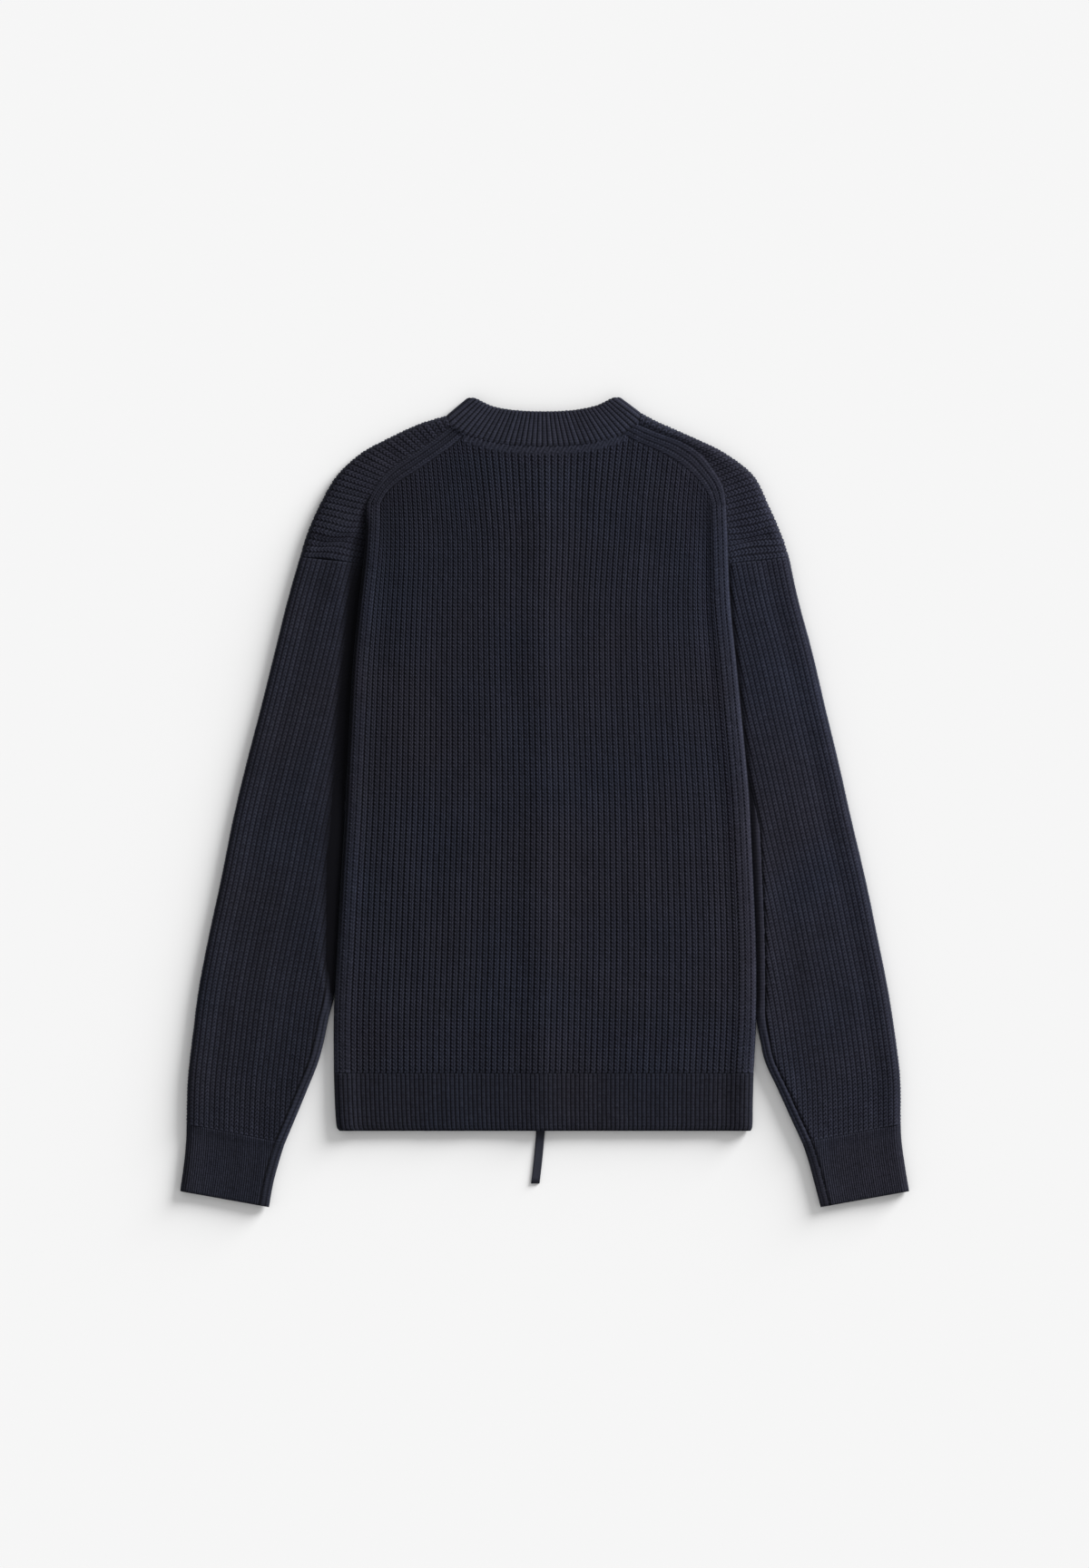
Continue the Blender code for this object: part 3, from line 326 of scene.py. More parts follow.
def rolled(distance, edge, level, reach):
    """Height of a rounded edge that climbs from its seam to the flat of the cloth."""
    t = np.clip(distance / reach, 0, 1)
    return edge + (level - edge) * np.sqrt(1 - (1 - t) ** 2)


# Soft unevenness of the cloth: each row is one wide wave that leans over the panel
Wave = namedtuple("Wave", "high along across turn shift")
WAVES = [
    Wave(0.22, 210.0, 95.0, 0.30, 0.4),
    Wave(0.16, 140.0, 61.0, -0.20, 2.1),
    Wave(0.10, 75.0, 43.0, 0.55, 4.0),
    Wave(0.07, 47.0, 29.0, -0.65, 1.2),
]
SHIFT_ALONG = 1.7             # how far a wave's shift along it is turned on


def unevenness(x, y):
    total = np.zeros(np.broadcast(x, y).shape)
    for wave in WAVES:
        a = (x * math.cos(wave.turn) + y * math.sin(wave.turn)) / wave.across
        b = (y * math.cos(wave.turn) - x * math.sin(wave.turn)) / wave.along
        total = total + wave.high * np.sin(2 * math.pi * a + wave.shift) * \
            np.cos(2 * math.pi * b + SHIFT_ALONG * wave.shift)
    return total


# Creases of the back: soft troughs and ridges along short lines
Crease = namedtuple("Crease", "x0 y0 x1 y1 wide high")
BACK_CREASES = [
    Crease(153.0, 285.0, 160.0, 110.0, 8.0, -1.3),
    Crease(150.0, 110.0, 172.0, -40.0, 7.0, -0.6),
    Crease(-110.0, 300.0, -128.0, 170.0, 14.0, 0.5),
    Crease(-150.0, 60.0, -158.0, -150.0, 16.0, -0.4),
    Crease(95.0, 240.0, 70.0, 60.0, 18.0, 0.4),
    Crease(40.0, -60.0, 62.0, -240.0, 16.0, -0.35),
    Crease(-60.0, -120.0, -75.0, -255.0, 15.0, -0.35),
]
SLEEVE_CREASES = [
    Crease(-200.0, 190.0, -218.0, -30.0, 9.0, -0.9),
    Crease(-268.0, -60.0, -300.0, -240.0, 10.0, -0.5),
    Crease(-236.0, -120.0, -262.0, -285.0, 9.0, -0.6),
    Crease(-222.0, 40.0, -262.0, -40.0, 12.0, 0.5),
    Crease(262.0, -90.0, 292.0, -250.0, 10.0, -0.5),
    Crease(232.0, -30.0, 244.0, -200.0, 9.0, -0.45),
    Crease(214.0, 150.0, 240.0, 40.0, 12.0, 0.4),
]
FRONT_CREASES = {
    LEFT: [Crease(-60.0, 200.0, -95.0, 20.0, 8.0, 1.1),
           Crease(-130.0, 60.0, -120.0, -140.0, 9.0, 0.8),
           Crease(-40.0, -80.0, -70.0, -230.0, 7.0, 0.7)],
    RIGHT: [Crease(70.0, 215.0, 88.0, 60.0, 8.0, 0.9),
            Crease(125.0, 30.0, 146.0, -170.0, 9.0, 1.0),
            Crease(50.0, -60.0, 42.0, -215.0, 7.0, 0.8)],
}
CREASE_ENDS = ((-0.15, 0.25), (0.75, 1.15))    # a crease rises and fades over these shares


def creased(creases, x, y):
    total = np.zeros(np.broadcast(x, y).shape)
    for c in creases:
        dx, dy = c.x1 - c.x0, c.y1 - c.y0
        t = ((x - c.x0) * dx + (y - c.y0) * dy) / (dx * dx + dy * dy)
        away = ((x - c.x0) * dy - (y - c.y0) * dx) / math.hypot(dx, dy)
        along = smooth(*CREASE_ENDS[0], t) * (1 - smooth(*CREASE_ENDS[1], t))
        total = total + c.high * along * np.exp(-(away / c.wide) ** 2)
    return total


# The fold of a sleeve beside the body: its width and depth from below to the top; its depth also
# sets its painted shade
Fold = namedtuple("Fold", "y wide deep")
FOLDS = {
    LEFT: [Fold(-207.0, 3.0, 0.0), Fold(-180.0, 10.0, 0.8), Fold(-150.0, 17.0, 1.0),
           Fold(-58.0, 24.0, 1.0), Fold(60.0, 20.0, 1.0), Fold(160.0, 17.0, 1.0),
           Fold(215.0, 19.0, 0.9), Fold(245.0, 17.0, 0.62), Fold(268.0, 12.0, 0.48),
           Fold(290.0, 6.0, 0.3), Fold(303.0, 2.0, 0.0)],
    RIGHT: [Fold(-225.0, 3.0, 0.0), Fold(-195.0, 4.0, 0.7), Fold(-60.0, 5.0, 0.5),
            Fold(150.0, 5.0, 0.6), Fold(225.0, 4.0, 0.5), Fold(270.0, 2.0, 0.0)],
}
FOLD_DEEP = {LEFT: 4.0, RIGHT: 0.8}
FOLD_SIDE = (0.4, 1.15)       # its side climbs between these shares of its width
BESIDE_PAINTED_SHADE = {LEFT: 0.17, RIGHT: 0.0}    # painted shade: how much a sleeve's yarn darkens towards the body
BESIDE_WIDE = 75.0            # and over which width


def valley(side, from_edge, y):
    """Share from 0 to 1 of a sleeve's fold beside the body, wide on the left."""
    rows = FOLDS[side]
    wide = np.interp(y, [row.y for row in rows], [row.wide for row in rows])
    deep = np.interp(y, [row.y for row in rows], [row.deep for row in rows])
    return deep * (1 - smooth(wide * FOLD_SIDE[0], wide * FOLD_SIDE[1], from_edge))


def painted_shade_factor(side, from_edge, fold):
    """Share of the stitches' lift kept beside the body: painted shade that darkens the yarn in the
    fold and towards the body, and also flattens the stitches.
    """
    beside = BESIDE_PAINTED_SHADE[side] * (1 - smooth(0, BESIDE_WIDE, from_edge))
    return (1 - VALLEY_PAINTED_SHADE * fold) * (1 - beside)


def sunk(side, height, fold):
    """Height of cloth that dips into the fold beside the body."""
    return np.maximum(height - FOLD_DEEP[side] * fold, np.minimum(height, SUNK))


# A pinch of the yoke: rib lines are drawn towards the line from one end to the other
Pinch = namedtuple("Pinch", "x0 y0 x1 y1 wide pull")
PINCHES = {LEFT: Pinch(-224.0, 243.0, -188.0, 258.0, 13.0, 0.45),
           RIGHT: Pinch(224.0, 262.0, 186.0, 250.0, 11.0, 0.40)}
PINCH_ENDS = ((-0.6, 0.0), (1.0, 1.6))
YOKE_CREASES = [
    Crease(-230.0, 242.0, -190.0, 257.0, 4.0, -1.8),
    Crease(-226.0, 256.0, -188.0, 272.0, 6.0, 0.9),
    Crease(-212.0, 290.0, -182.0, 283.0, 6.0, -0.5),
    Crease(229.0, 262.0, 188.0, 250.0, 4.0, -1.3),
    Crease(224.0, 276.0, 190.0, 268.0, 6.0, 0.7),
    Crease(150.0, 338.0, 120.0, 346.0, 9.0, 0.6),
]


def pinch(side, plan):
    """Plan shift of points near the yoke's pinch."""
    row = PINCHES[side]
    start, line = np.array([row.x0, row.y0]), np.array([row.x1 - row.x0, row.y1 - row.y0])
    length = np.linalg.norm(line)
    along = line / length
    square = np.array([-along[1], along[0]])
    gone = (plan - start) @ along / length
    away = (plan - start) @ square
    ends = smooth(*PINCH_ENDS[0], gone) * (1 - smooth(*PINCH_ENDS[1], gone))
    return square * (-away * row.pull * np.exp(-(away / row.wide) ** 2) * ends)[..., None]


# ---------------------------------------------------------------- stitches

def wale_points(start, stop):
    """Wale coordinates from start to stop; whole numbers are the gaps between wales."""
    whole = np.arange(start, stop)[:, None] + np.array(WALE_PHASES)
    return np.append(whole.reshape(-1), float(stop))


def course_points(count):
    return np.linspace(0, count, int(round(count * PER_COURSE)) + 1)


Stitch = namedtuple("Stitch", "gap leg centre rest slide")
CARDIGAN = Stitch(gap=0.0, leg=1.0, centre=0.50, rest=0.38, slide=0.40)
YOKE_KNIT = Stitch(gap=0.22, leg=1.0, centre=0.58, rest=0.28, slide=0.32)
SLEEVE_KNIT = Stitch(gap=0.12, leg=1.0, centre=0.60, rest=0.40, slide=0.36)
RIB = Stitch(gap=0.0, leg=1.0, centre=0.78, rest=0.60, slide=0.18)
FINE_RIB = Stitch(gap=0.0, leg=1.0, centre=0.90, rest=0.80, slide=0.10)
BRAID = Stitch(gap=0.30, leg=1.0, centre=0.60, rest=0.50, slide=0.45)


CELLS = 64                    # stitches before the unevenness of the yarn repeats
CELL_NOISE, WALE_NOISE, WALE_ROW = 0.07, 0.06, 7
HIGHEST = 1.3                 # no stitch lifts more than this


def ends_faded(courses, count, reach):
    """0 at the first and last of count courses, rising to 1 over a reach."""
    return np.clip(courses / reach, 0, 1) * np.clip((count - courses) / reach, 0, 1)


def stitches(wales, courses, kind, seed):
    """Lift, about 0 to 1, and slide along the wale, in courses, of a grid of stitch points."""
    phase = wales - np.floor(wales + NEAR)
    nearest_gap = np.minimum(phase, 1 - phase)
    across = np.interp(nearest_gap, [0, LEG, 0.5], [kind.gap, kind.leg, kind.centre])
    crest = 1 - np.abs(2 * (courses - np.floor(courses + NEAR)) - 1)
    lift = across * lerp(kind.rest, 1.0, crest)
    table = np.random.default_rng(seed).normal(0, 1, (CELLS, CELLS))
    column = np.floor(wales).astype(int) % CELLS
    cell = table[np.floor(courses).astype(int) % CELLS, column]
    lift = np.clip(lift * (1 + CELL_NOISE * cell + WALE_NOISE * table[WALE_ROW, column]), 0,
                   HIGHEST)
    slide = kind.slide * np.interp(nearest_gap, [0, LEG, 0.5], [1.0, 0.0, -1.0])
    return lift, slide


# ---------------------------------------------------------------- meshes

WELD = 100                    # points closer than a hundredth of a millimetre are one


def frame_shift():
    """From this script's millimetres to the frame's, read from the hem's box."""
    low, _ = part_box("hem_back")
    return np.array([low.x / MM - HEM_ROWS[0].left, low.y / MM - HEM_ROWS[-1].y, 0.0])


SHIFT = frame_shift()


class Cloth:
    """Gathers grids, polygons and rims of one piece, with stitch lift and knit coordinates."""

    def __init__(self, name):
        self.name = name
        self.points, self.lifts, self.knit = [], [], []
        self.quads, self.polygons = [], []
        self.count = 0

    def add(self, points, lifts, knit):
        first = self.count
        shape = points.shape[:-1]
        self.points.append(points.reshape(-1, 3))
        self.lifts.append(np.broadcast_to(lifts, shape).reshape(-1))
        self.knit.append(np.broadcast_to(knit, shape + (2,)).reshape(-1, 2))
        self.count += len(self.points[-1])
        return first + np.arange(self.count - first).reshape(shape)

    def grid(self, points, lifts=0.0, knit=(0.0, 0.0)):
        """Adds a grid of points, rows first, and returns their numbers."""
        index = self.add(points, lifts, knit)
        self.quads.append(np.stack([index[:-1, :-1], index[:-1, 1:], index[1:, 1:],
                                    index[1:, :-1]], axis=-1).reshape(-1, 4))
        return index

    def polygon(self, points, knit):
        self.polygons.append(self.add(points, FLAT_LIFT, knit))

    def rim(self, many, few, ties=None):
        """Joins a finely divided edge to a coarse one; ties are the facing places in many."""
        if ties is None:
            ties = np.round(np.linspace(0, len(many) - 1, len(few))).astype(int)
        for i in range(len(few) - 1):
            self.polygons.append(np.concatenate([many[ties[i]:ties[i + 1] + 1],
                                                 [few[i + 1], few[i]]]))

    def facing(self, many, few):
        """Places in many that lie nearest to each of few."""
        points = np.concatenate(self.points)
        gaps = length_of(points[many][None] - points[few][:, None])
        ties = np.maximum.accumulate(gaps.argmin(axis=1))
        ties[0], ties[-1] = 0, len(many) - 1
        return ties

    def build(self, materials, underside=None):
        """Welds the points and makes the object; underside works its flat side."""
        points = np.concatenate(self.points)
        lifts = np.concatenate(self.lifts)
        knit = np.concatenate(self.knit)
        _, first, same = np.unique(np.round(points * WELD).astype(np.int64), axis=0,
                                   return_index=True, return_inverse=True)
        same = same.reshape(-1)
        quads = np.concatenate(self.quads)
        whole = (np.diff(np.sort(same[quads], axis=1), axis=1) > 0).all(axis=1)
        faces = same[quads[whole]].tolist()
        corners = [quads[whole].reshape(-1)]
        for polygon in list(quads[~whole]) + self.polygons:
            kept = {}
            for number in polygon:
                kept.setdefault(int(same[number]), int(number))
            if len(kept) > 2:
                faces.append(list(kept))
                corners.append(np.array(list(kept.values())))
        data = bpy.data.meshes.new(self.name)
        data.from_pydata(((points[first] + SHIFT) * MM).tolist(), [], faces)
        attribute = data.attributes.new("lift", "FLOAT", "POINT")
        attribute.data.foreach_set("value", lifts[first].astype(np.float32))
        layer = data.uv_layers.new(name="knit")
        layer.data.foreach_set("uv", knit[np.concatenate(corners)].astype(np.float32).ravel())
        for material in materials:
            data.materials.append(material)
        finish_mesh(data, underside)
        return placed(bpy.data.objects.new(self.name, data))


def placed(obj):
    bpy.context.collection.objects.link(obj)
    return obj


ON_FLOOR = 1e-6
SHARP_EDGE = math.radians(50)
METAL_EDGE = math.radians(40)
DOWNWARD = -0.5               # a face whose normal points lower than this faces down


def finish_mesh(data, underside):
    """Turns the faces outwards, works the flat underside and shades it smoothly."""
    mesh = bmesh.new()
    mesh.from_mesh(data)
    if underside:
        underside(mesh)
    bmesh.ops.recalc_face_normals(mesh, faces=mesh.faces)
    for edge in mesh.edges:
        if all(vert.co.z < ON_FLOOR for vert in edge.verts):
            edge.smooth = edge.calc_face_angle(0.0) < SHARP_EDGE
    for face in mesh.faces:
        face.smooth = True
        low = face.calc_center_median().z < UNDER_TOP * MM and face.normal.z < DOWNWARD
        face.material_index = 1 if low and len(data.materials) > 1 else 0
    mesh.to_mesh(data)
    mesh.free()


def every(count, step):
    """Every step-th number below count, and the last one."""
    return np.unique(np.append(np.arange(0, count, step), count - 1))


def worked(lift, relief, deep):
    """Height that a stitch's lift gives over the rib valleys of the solids."""
    return relief * lift - deep * (1 - lift)


# ---------------------------------------------------------------- back panel

BACK_FOOT = BODY_SIDES[0].y
BACK_HEAD = BODY_SIDES[-1].y
NECK_FIRST = BAND_WALES + SHOULDER_WALES
NECK_LAST = NECK_FIRST + NECK_WALES
PUFF_END = (230.0, SHOULDER_TOP)    # the puffed sides flatten out between these heights
RIDGE_END = (305.0, 343.0)    # and the ridge over the zip between these
INNER_STEP, NECK_STEP = 3, 4  # wales to a column of the plain inner side
INNER_WALES = np.unique(np.concatenate([
    np.arange(BAND_WALES, NECK_FIRST, INNER_STEP), np.arange(NECK_FIRST, NECK_LAST + 1, NECK_STEP),
    np.arange(NECK_LAST, BACK_WALES - BAND_WALES + 1, INNER_STEP)]))
INNER_ROWS = np.linspace(0, 1, 14)
START_COURSES = 0.8           # the back's ribs rise from the hem over these courses
END_FADE = (0.0, 2.0)         # and sink towards the band over this distance
LINK_HIGH = 9.5               # the flat row of linking stitches under the collar
LINKS = 1.5                   # linking stitches to a wale
LINK_FADE, LINK_LEAN = 4.0, 6.0
LINK_LIFT, LINK_WAVE = 0.54, 0.26
BAND_TURN = 8                 # points over which the band turns on to the shoulder
BAND_FREE = (0.0, 3.0)        # its stitches slide freely beyond this distance from the edge
VALLEY_SPAN = ((-230.0, -60.0), (262.0, 292.0))    # painted shade darkens the edge beside the left fold between these heights


def back_top(wale):
    """Where each wale of the back ends: under the shoulder's band, or at the neckline."""
    left = BAND[LEFT].at((NECK_FIRST - wale) / SHOULDER_WALES)
    right = BAND[RIGHT].at((wale - NECK_LAST) / SHOULDER_WALES)
    neck = NECKLINE.at((wale - NECK_FIRST) / NECK_WALES)
    wale = np.asarray(wale)[..., None]
    return np.where(wale <= NECK_FIRST, left, np.where(wale >= NECK_LAST, right, neck))


def back_base(distance, x, y):
    """Height of the back's rib valleys, distance in from its side edge."""
    puff = (1 - smooth(SIDE_REACH, PUFF_REACH, distance)) * (1 - smooth(*PUFF_END, y))
    ridge = np.exp(-((x - zip_line(y)) / ZIP_RIDGE_WIDTH) ** 2) * (1 - smooth(*RIDGE_END, y))
    return (BACK_LEVEL + (BACK_EDGE_LEVEL - BACK_LEVEL) * puff + ZIP_RIDGE * ridge
            + unevenness(x, y) + creased(BACK_CREASES, x, y))


def upright(wale, y):
    """Plan x of a wale that is spread evenly between the side edges."""
    return lerp(SIDE_EDGE[LEFT](y), SIDE_EDGE[RIGHT](y), wale / BACK_WALES)


def back_surface(wale, y):
    """Points of the rib valleys: wales stand upright and fan outwards at the top."""
    top = back_top(wale)
    lean = np.clip((y - LEAN_START) / (top[..., 1] - LEAN_START), 0, 1) ** LEAN_POWER
    x = upright(wale, y) + (top[..., 0] - upright(wale, top[..., 1])) * lean
    pitch = (SIDE_EDGE[RIGHT](y) - SIDE_EDGE[LEFT](y)) / BACK_WALES
    return joined(x, y, back_base(np.minimum(wale, BACK_WALES - wale) * pitch, x, y))


def back_band(cloth, side, field, inner_field, rows):
    """The band that runs up the side and over the shoulder, sharing the field's edge."""
    column = 0 if side == LEFT else field.shape[1] - 1
    up = field[:rows, column]
    across = [column - side * i for i in range(1, SHOULDER_WALES * PER_WALE + 1)]
    inner = np.concatenate([up, field[-1, across]])
    side_y = np.minimum(up[:, 1], BACK_HEAD)
    steps = np.arange(1, len(across) + 1)
    outer = np.concatenate([joined(SIDE_EDGE[side](side_y), side_y),
                            SHOULDER[side].at(1 - steps / len(across))])
    turn = np.clip(steps / BAND_TURN, 0, 1)
    seam = np.concatenate([seam_height(side_y), lerp(seam_height(BACK_HEAD), SHOULDER_SEAM, turn)])
    reach = np.concatenate([np.full(rows, SIDE_REACH), lerp(SIDE_REACH, SIDE_REACH / 2, turn)])
    w, c = np.meshgrid(wale_points(0, BAND_WALES), np.arange(len(inner)) / PER_COURSE)
    lift, slide = stitches(w, c, BRAID, BAND_SEED + side)
    plan = lerp(outer[:, None], inner[:, None, :2], (w / BAND_WALES)[..., None])
    along = unit(np.gradient((outer + inner[:, :2]) / 2, axis=0))[:, None]
    distance = length_of(plan - outer[:, None])
    free = smooth(*BAND_FREE, distance) * smooth(0, 1, BAND_WALES - w) * ends_faded(c, c[-1:], 1)
    plan = plan + along * (slide * free * BACK_COURSE)[..., None]
    height = rolled(distance, seam[:, None], inner[:, None, 2] + BACK_DEEP, reach[:, None])
    lift = lift * smooth(*LIFT_EDGE, distance)
    height = height + smooth(*RELIEF_EDGE, distance) * worked(lift, BACK_RELIEF, BACK_DEEP)
    # painted shade: the back's left edge darkens beside the fold
    if side == LEFT:
        y = plan[..., 1]
        beside = smooth(*VALLEY_SPAN[0], y) * (1 - smooth(*VALLEY_SPAN[1], y))
        lift = lift * (1 - VALLEY_PAINTED_SHADE * beside * (1 - smooth(*EDGE_PAINTED_SHADE, distance)))
    points = stack(plan, height)
    points[:, -1] = inner
    index = cloth.grid(points, lift, joined(w, c))

    edge = 0 if side == LEFT else len(INNER_WALES) - 1
    low = inner_field[:, edge]
    low_y = np.minimum(low[:, 1], BACK_HEAD)
    low_outer = joined(SIDE_EDGE[side](low_y), low_y)
    closed, low_seam = side_closed(low_y), seam_height(low_y)
    rim_plan = low_outer + unit(low[:, :2] - low_outer) * (BACK_WALL * closed)[:, None]
    rim_line = stack(rim_plan, lerp(low_seam - EDGE_WALL, low_seam, closed))
    near = [edge - side * i for i in range(1, SHOULDER_WALES // INNER_STEP + 1)]
    gone = np.abs(INNER_WALES[near] - INNER_WALES[edge]) / SHOULDER_WALES
    shoulder = stack(SHOULDER[side].at(1 - gone), SHOULDER_SEAM - EDGE_WALL)
    inner_index = cloth.grid(np.stack([np.concatenate([rim_line, shoulder]),
                                       np.concatenate([low, inner_field[-1, near]])], axis=1))
    ties = [int(np.abs(up[:, 1] - y).argmin()) for y in low[:, 1]]
    ties[0], ties[-1] = 0, rows - 1
    ties += [rows - 1 + int(round(part * len(across))) for part in gone]
    cloth.rim(index[:, 0], inner_index[:, 0], ties)
    for end in (0, -1):
        cloth.rim(index[end], inner_index[end])


def build_back(materials):
    cloth = Cloth("knit_back")
    wales = wale_points(BAND_WALES, BACK_WALES - BAND_WALES)
    top = back_top(wales)[:, 1]
    w, c = np.meshgrid(wales, course_points(math.ceil((top.max() - BACK_FOOT) / BACK_COURSE)))
    lift, slide = stitches(w, c, CARDIGAN, BACK_SEED)
    y = np.clip(BACK_FOOT + (c + slide * np.clip(c, 0, 1)) * BACK_COURSE, BACK_FOOT, top)
    points = back_surface(w, y)
    below = top - y
    at_neck = (w >= NECK_FIRST) & (w <= NECK_LAST)
    link = np.where(at_neck, 1 - smooth(LINK_HIGH - LINK_FADE, LINK_HIGH, below), 0.0)
    stitch = LINK_LIFT + LINK_WAVE * np.cos(2 * math.pi * (w * LINKS + below / LINK_LEAN))
    lift = lerp(lift, stitch, link)
    free = np.sqrt(np.clip(c / START_COURSES, 0, 1))
    free = free * np.where(at_neck, 1.0, smooth(*END_FADE, below))
    points[..., 2] += worked(lift * free, BACK_RELIEF, BACK_DEEP)
    index = cloth.grid(points, lift * lerp(END_LIFT, 1.0, free), joined(w, c))

    low_top = back_top(INNER_WALES)[:, 1]
    low_y = BACK_FOOT + (low_top - BACK_FOOT) * INNER_ROWS[:, None]
    low = back_surface(np.broadcast_to(INNER_WALES, low_y.shape), low_y)
    low[..., 2] -= BACK_WALL
    low_index = cloth.grid(low)
    ties = (INNER_WALES - BAND_WALES) * PER_WALE
    cloth.rim(index[0], low_index[0], ties)
    neck = (INNER_WALES >= NECK_FIRST) & (INNER_WALES <= NECK_LAST)
    cloth.rim(index[-1], low_index[-1, neck], ties[neck])
    for side, column in ((LEFT, 0), (RIGHT, -1)):
        y = points[:, column, 1]
        back_band(cloth, side, points, low, int(np.argmax(y >= y[-1] - NEAR)) + 1)
    return cloth.build(materials)


# ---------------------------------------------------------------- fronts with their yokes

YOKE_CORNER = 22              # the rib that meets the corner of the shoulder and armhole
YOKE_CORNER_FADE = (YOKE_CORNER - 3, YOKE_CORNER + 2)
YOKE_INNER_ACROSS = 0.7
YOKE_INNER_STEP = 16          # points between the rows of its plain inner side
YOKE_FLATTER = 0.45           # how much its relief sinks towards the seam
YOKE_CALM = ((0.0, 0.3), (0.7, 1.0))    # unevenness fades over these shares of its width
YOKE_CREASED = (0.0, 0.15)
EDGE_ROLL = [(FRONT_ROLL, 0.0), (3.5, 0.06), (1.5, 0.28), (0.4, 0.6), (0.0, 1.0)]
EDGE_TIES = [0, len(EDGE_ROLL) - 1]
GAP_HALF = 0.1                # half the width of a rib valley underneath, in ribs
CUT_NEAR = 1e-7
ARMHOLE_PLACES, NECK_PLACES, EDGE_PLACES = 12, 25, 31    # points along these edges


def folded(start, outward, angle, level, wall=None):
    """Points of a fold: angle 0 is on top, pi on the surface; wall gives its inner side."""
    low, high, reach = 0.0, level, FOLD_REACH
    if wall is not None:
        low, high, reach = FRONT_WALL, level - wall, FOLD_REACH - wall
    plan = start + outward * (reach * np.sin(angle))[..., None]
    return stack(plan, (high + low) / 2 + (high - low) / 2 * np.cos(angle))


def pushed(points, outward, angle, push):
    """A fold's points moved out along its normal; ribs are pressed flatter round the fold."""
    push = push * (1 - FOLD_PRESS * np.sin(angle))
    return points + stack(outward * (np.sin(angle) * push)[..., None], np.cos(angle) * push)


def showing(angle):
    """1 on the upper half of a fold, falling to 0 where it reaches the surface."""
    return np.minimum(1, 2 * (1 - angle / math.pi))


def yoke_seam(side):
    """The yoke's edge on the back, as its shoulder seam and its stretch of the armhole."""
    shoulder = SHOULDER[side].points
    y = np.linspace(BACK_HEAD, BODY_SIDES[ARMHOLE_TOP_ROW].y, ARMHOLE_PLACES)[1:]
    points = np.vstack([shoulder, joined(SIDE_EDGE[side](y), y)])
    steps = unit(np.diff(points, axis=0))
    along = np.zeros_like(points)
    along[1:] += steps
    along[:-1] += steps
    moved = points - unit(square_to(along)) * TUCK * side
    corner = len(shoulder) - 1
    return Path(moved[:corner + 1], False), Path(moved[corner:], False)


YOKE_SEAM = {side: yoke_seam(side) for side, _ in SIDES}


def yoke_frame(side, rib):
    """Start of the flat, seam and outward direction of the yoke's rib lines."""
    rib = np.asarray(rib, float)
    outline = OUTLINE[side].at(rib / YOKE_RIBS)
    shoulder, armhole = YOKE_SEAM[side]
    seam = np.where((rib <= YOKE_CORNER)[..., None], shoulder.at(rib / YOKE_CORNER),
                    armhole.at((rib - YOKE_CORNER) / (YOKE_RIBS - YOKE_CORNER)))
    outward = unit(outline - seam)
    return outline - outward * FOLD_REACH, seam, outward


def yoke_height(across, seam):
    return lerp(YOKE_LEVEL, seam_height(seam[..., 1]), smooth(0, 1, across))


def yoke_outer(side):
    """The yoke's knitted grid, one row to a rib line, from under the fold to the seam."""
    ribs = wale_points(0, YOKE_RIBS)
    start, seam, outward = [values[:, None] for values in yoke_frame(side, ribs)]
    width = length_of(seam - start)
    turn = FOLD_COURSES * PER_COURSE
    flat = math.ceil(width.max() / YOKE_COURSE * PER_COURSE)
    c, w = np.meshgrid(np.arange(turn + flat + 1) / PER_COURSE, ribs)
    lift, slide = stitches(w, c, YOKE_KNIT, YOKE_SEED + side)
    moved = c + slide * np.clip(c, 0, 1)
    angle = math.pi * np.clip(1 - moved / FOLD_COURSES, 0, 1)
    distance = np.minimum(np.clip(moved - FOLD_COURSES, 0, None) * YOKE_COURSE, width)
    across, left = distance / width, width - distance
    plan = lerp(start, seam, across[..., None])
    base = np.where((distance > 0)[..., None], stack(plan, yoke_height(across, seam)),
                    folded(start, outward, angle, YOKE_LEVEL))
    calm = smooth(*YOKE_CALM[0], across) * (1 - smooth(*YOKE_CALM[1], across))
    base[..., 2] += unevenness(base[..., 0], base[..., 1]) * calm
    base[..., :2] += pinch(side, base[..., :2]) * np.sin(math.pi * across)[..., None]
    creases = creased(YOKE_CREASES, base[..., 0], base[..., 1])
    base[..., 2] += creases * smooth(*YOKE_CREASED, across)
    from_seam = length_of(seam - plan)
    at_armhole = smooth(*YOKE_CORNER_FADE, w)
    fold = valley(side, from_seam, plan[..., 1]) * at_armhole
    base[..., 2] = sunk(side, base[..., 2], fold)
    lift = lift * smooth(*LIFT_EDGE, left) * showing(angle)
    # painted shade: round the armhole the yoke's yarn darkens into the fold beside the body
    lift = lift * lerp(1.0, painted_shade_factor(side, from_seam, fold), at_armhole)
    relief = worked(lift, BACK_RELIEF, BACK_DEEP) * (1 - YOKE_FLATTER * across)
    relief = relief * smooth(*RELIEF_EDGE, left) * showing(angle)
    return pushed(base, outward, angle, relief), lift, joined(w, c)


def yoke_inner(side):
    """The yoke's plain inner side, and the outer rows that its own rows face."""
    ties = every(YOKE_RIBS * PER_WALE + 1, YOKE_INNER_STEP)
    start, seam, outward = yoke_frame(side, ties / PER_WALE)
    rows = [folded(start, outward, angle, YOKE_LEVEL, BACK_WALL)
            for angle in (math.pi, math.pi / 2, 0.0)]
    rows.append(stack(lerp(start, seam, YOKE_INNER_ACROSS),
                      yoke_height(YOKE_INNER_ACROSS, seam) - BACK_WALL))
    rows.append(stack(seam, seam_height(seam[:, 1]) - EDGE_WALL))
    return np.stack(rows, axis=1), ties


def zip_edge(side, y):
    return joined(zip_line(y) + side * ZIP_OPENING, y)


def beside_zip(side, points):
    """A front's plan points on one side, the first of them beside the zip."""
    return [tuple(zip_edge(side, points[0][1]))] + [(-side * x, y) for x, y in points[1:]]


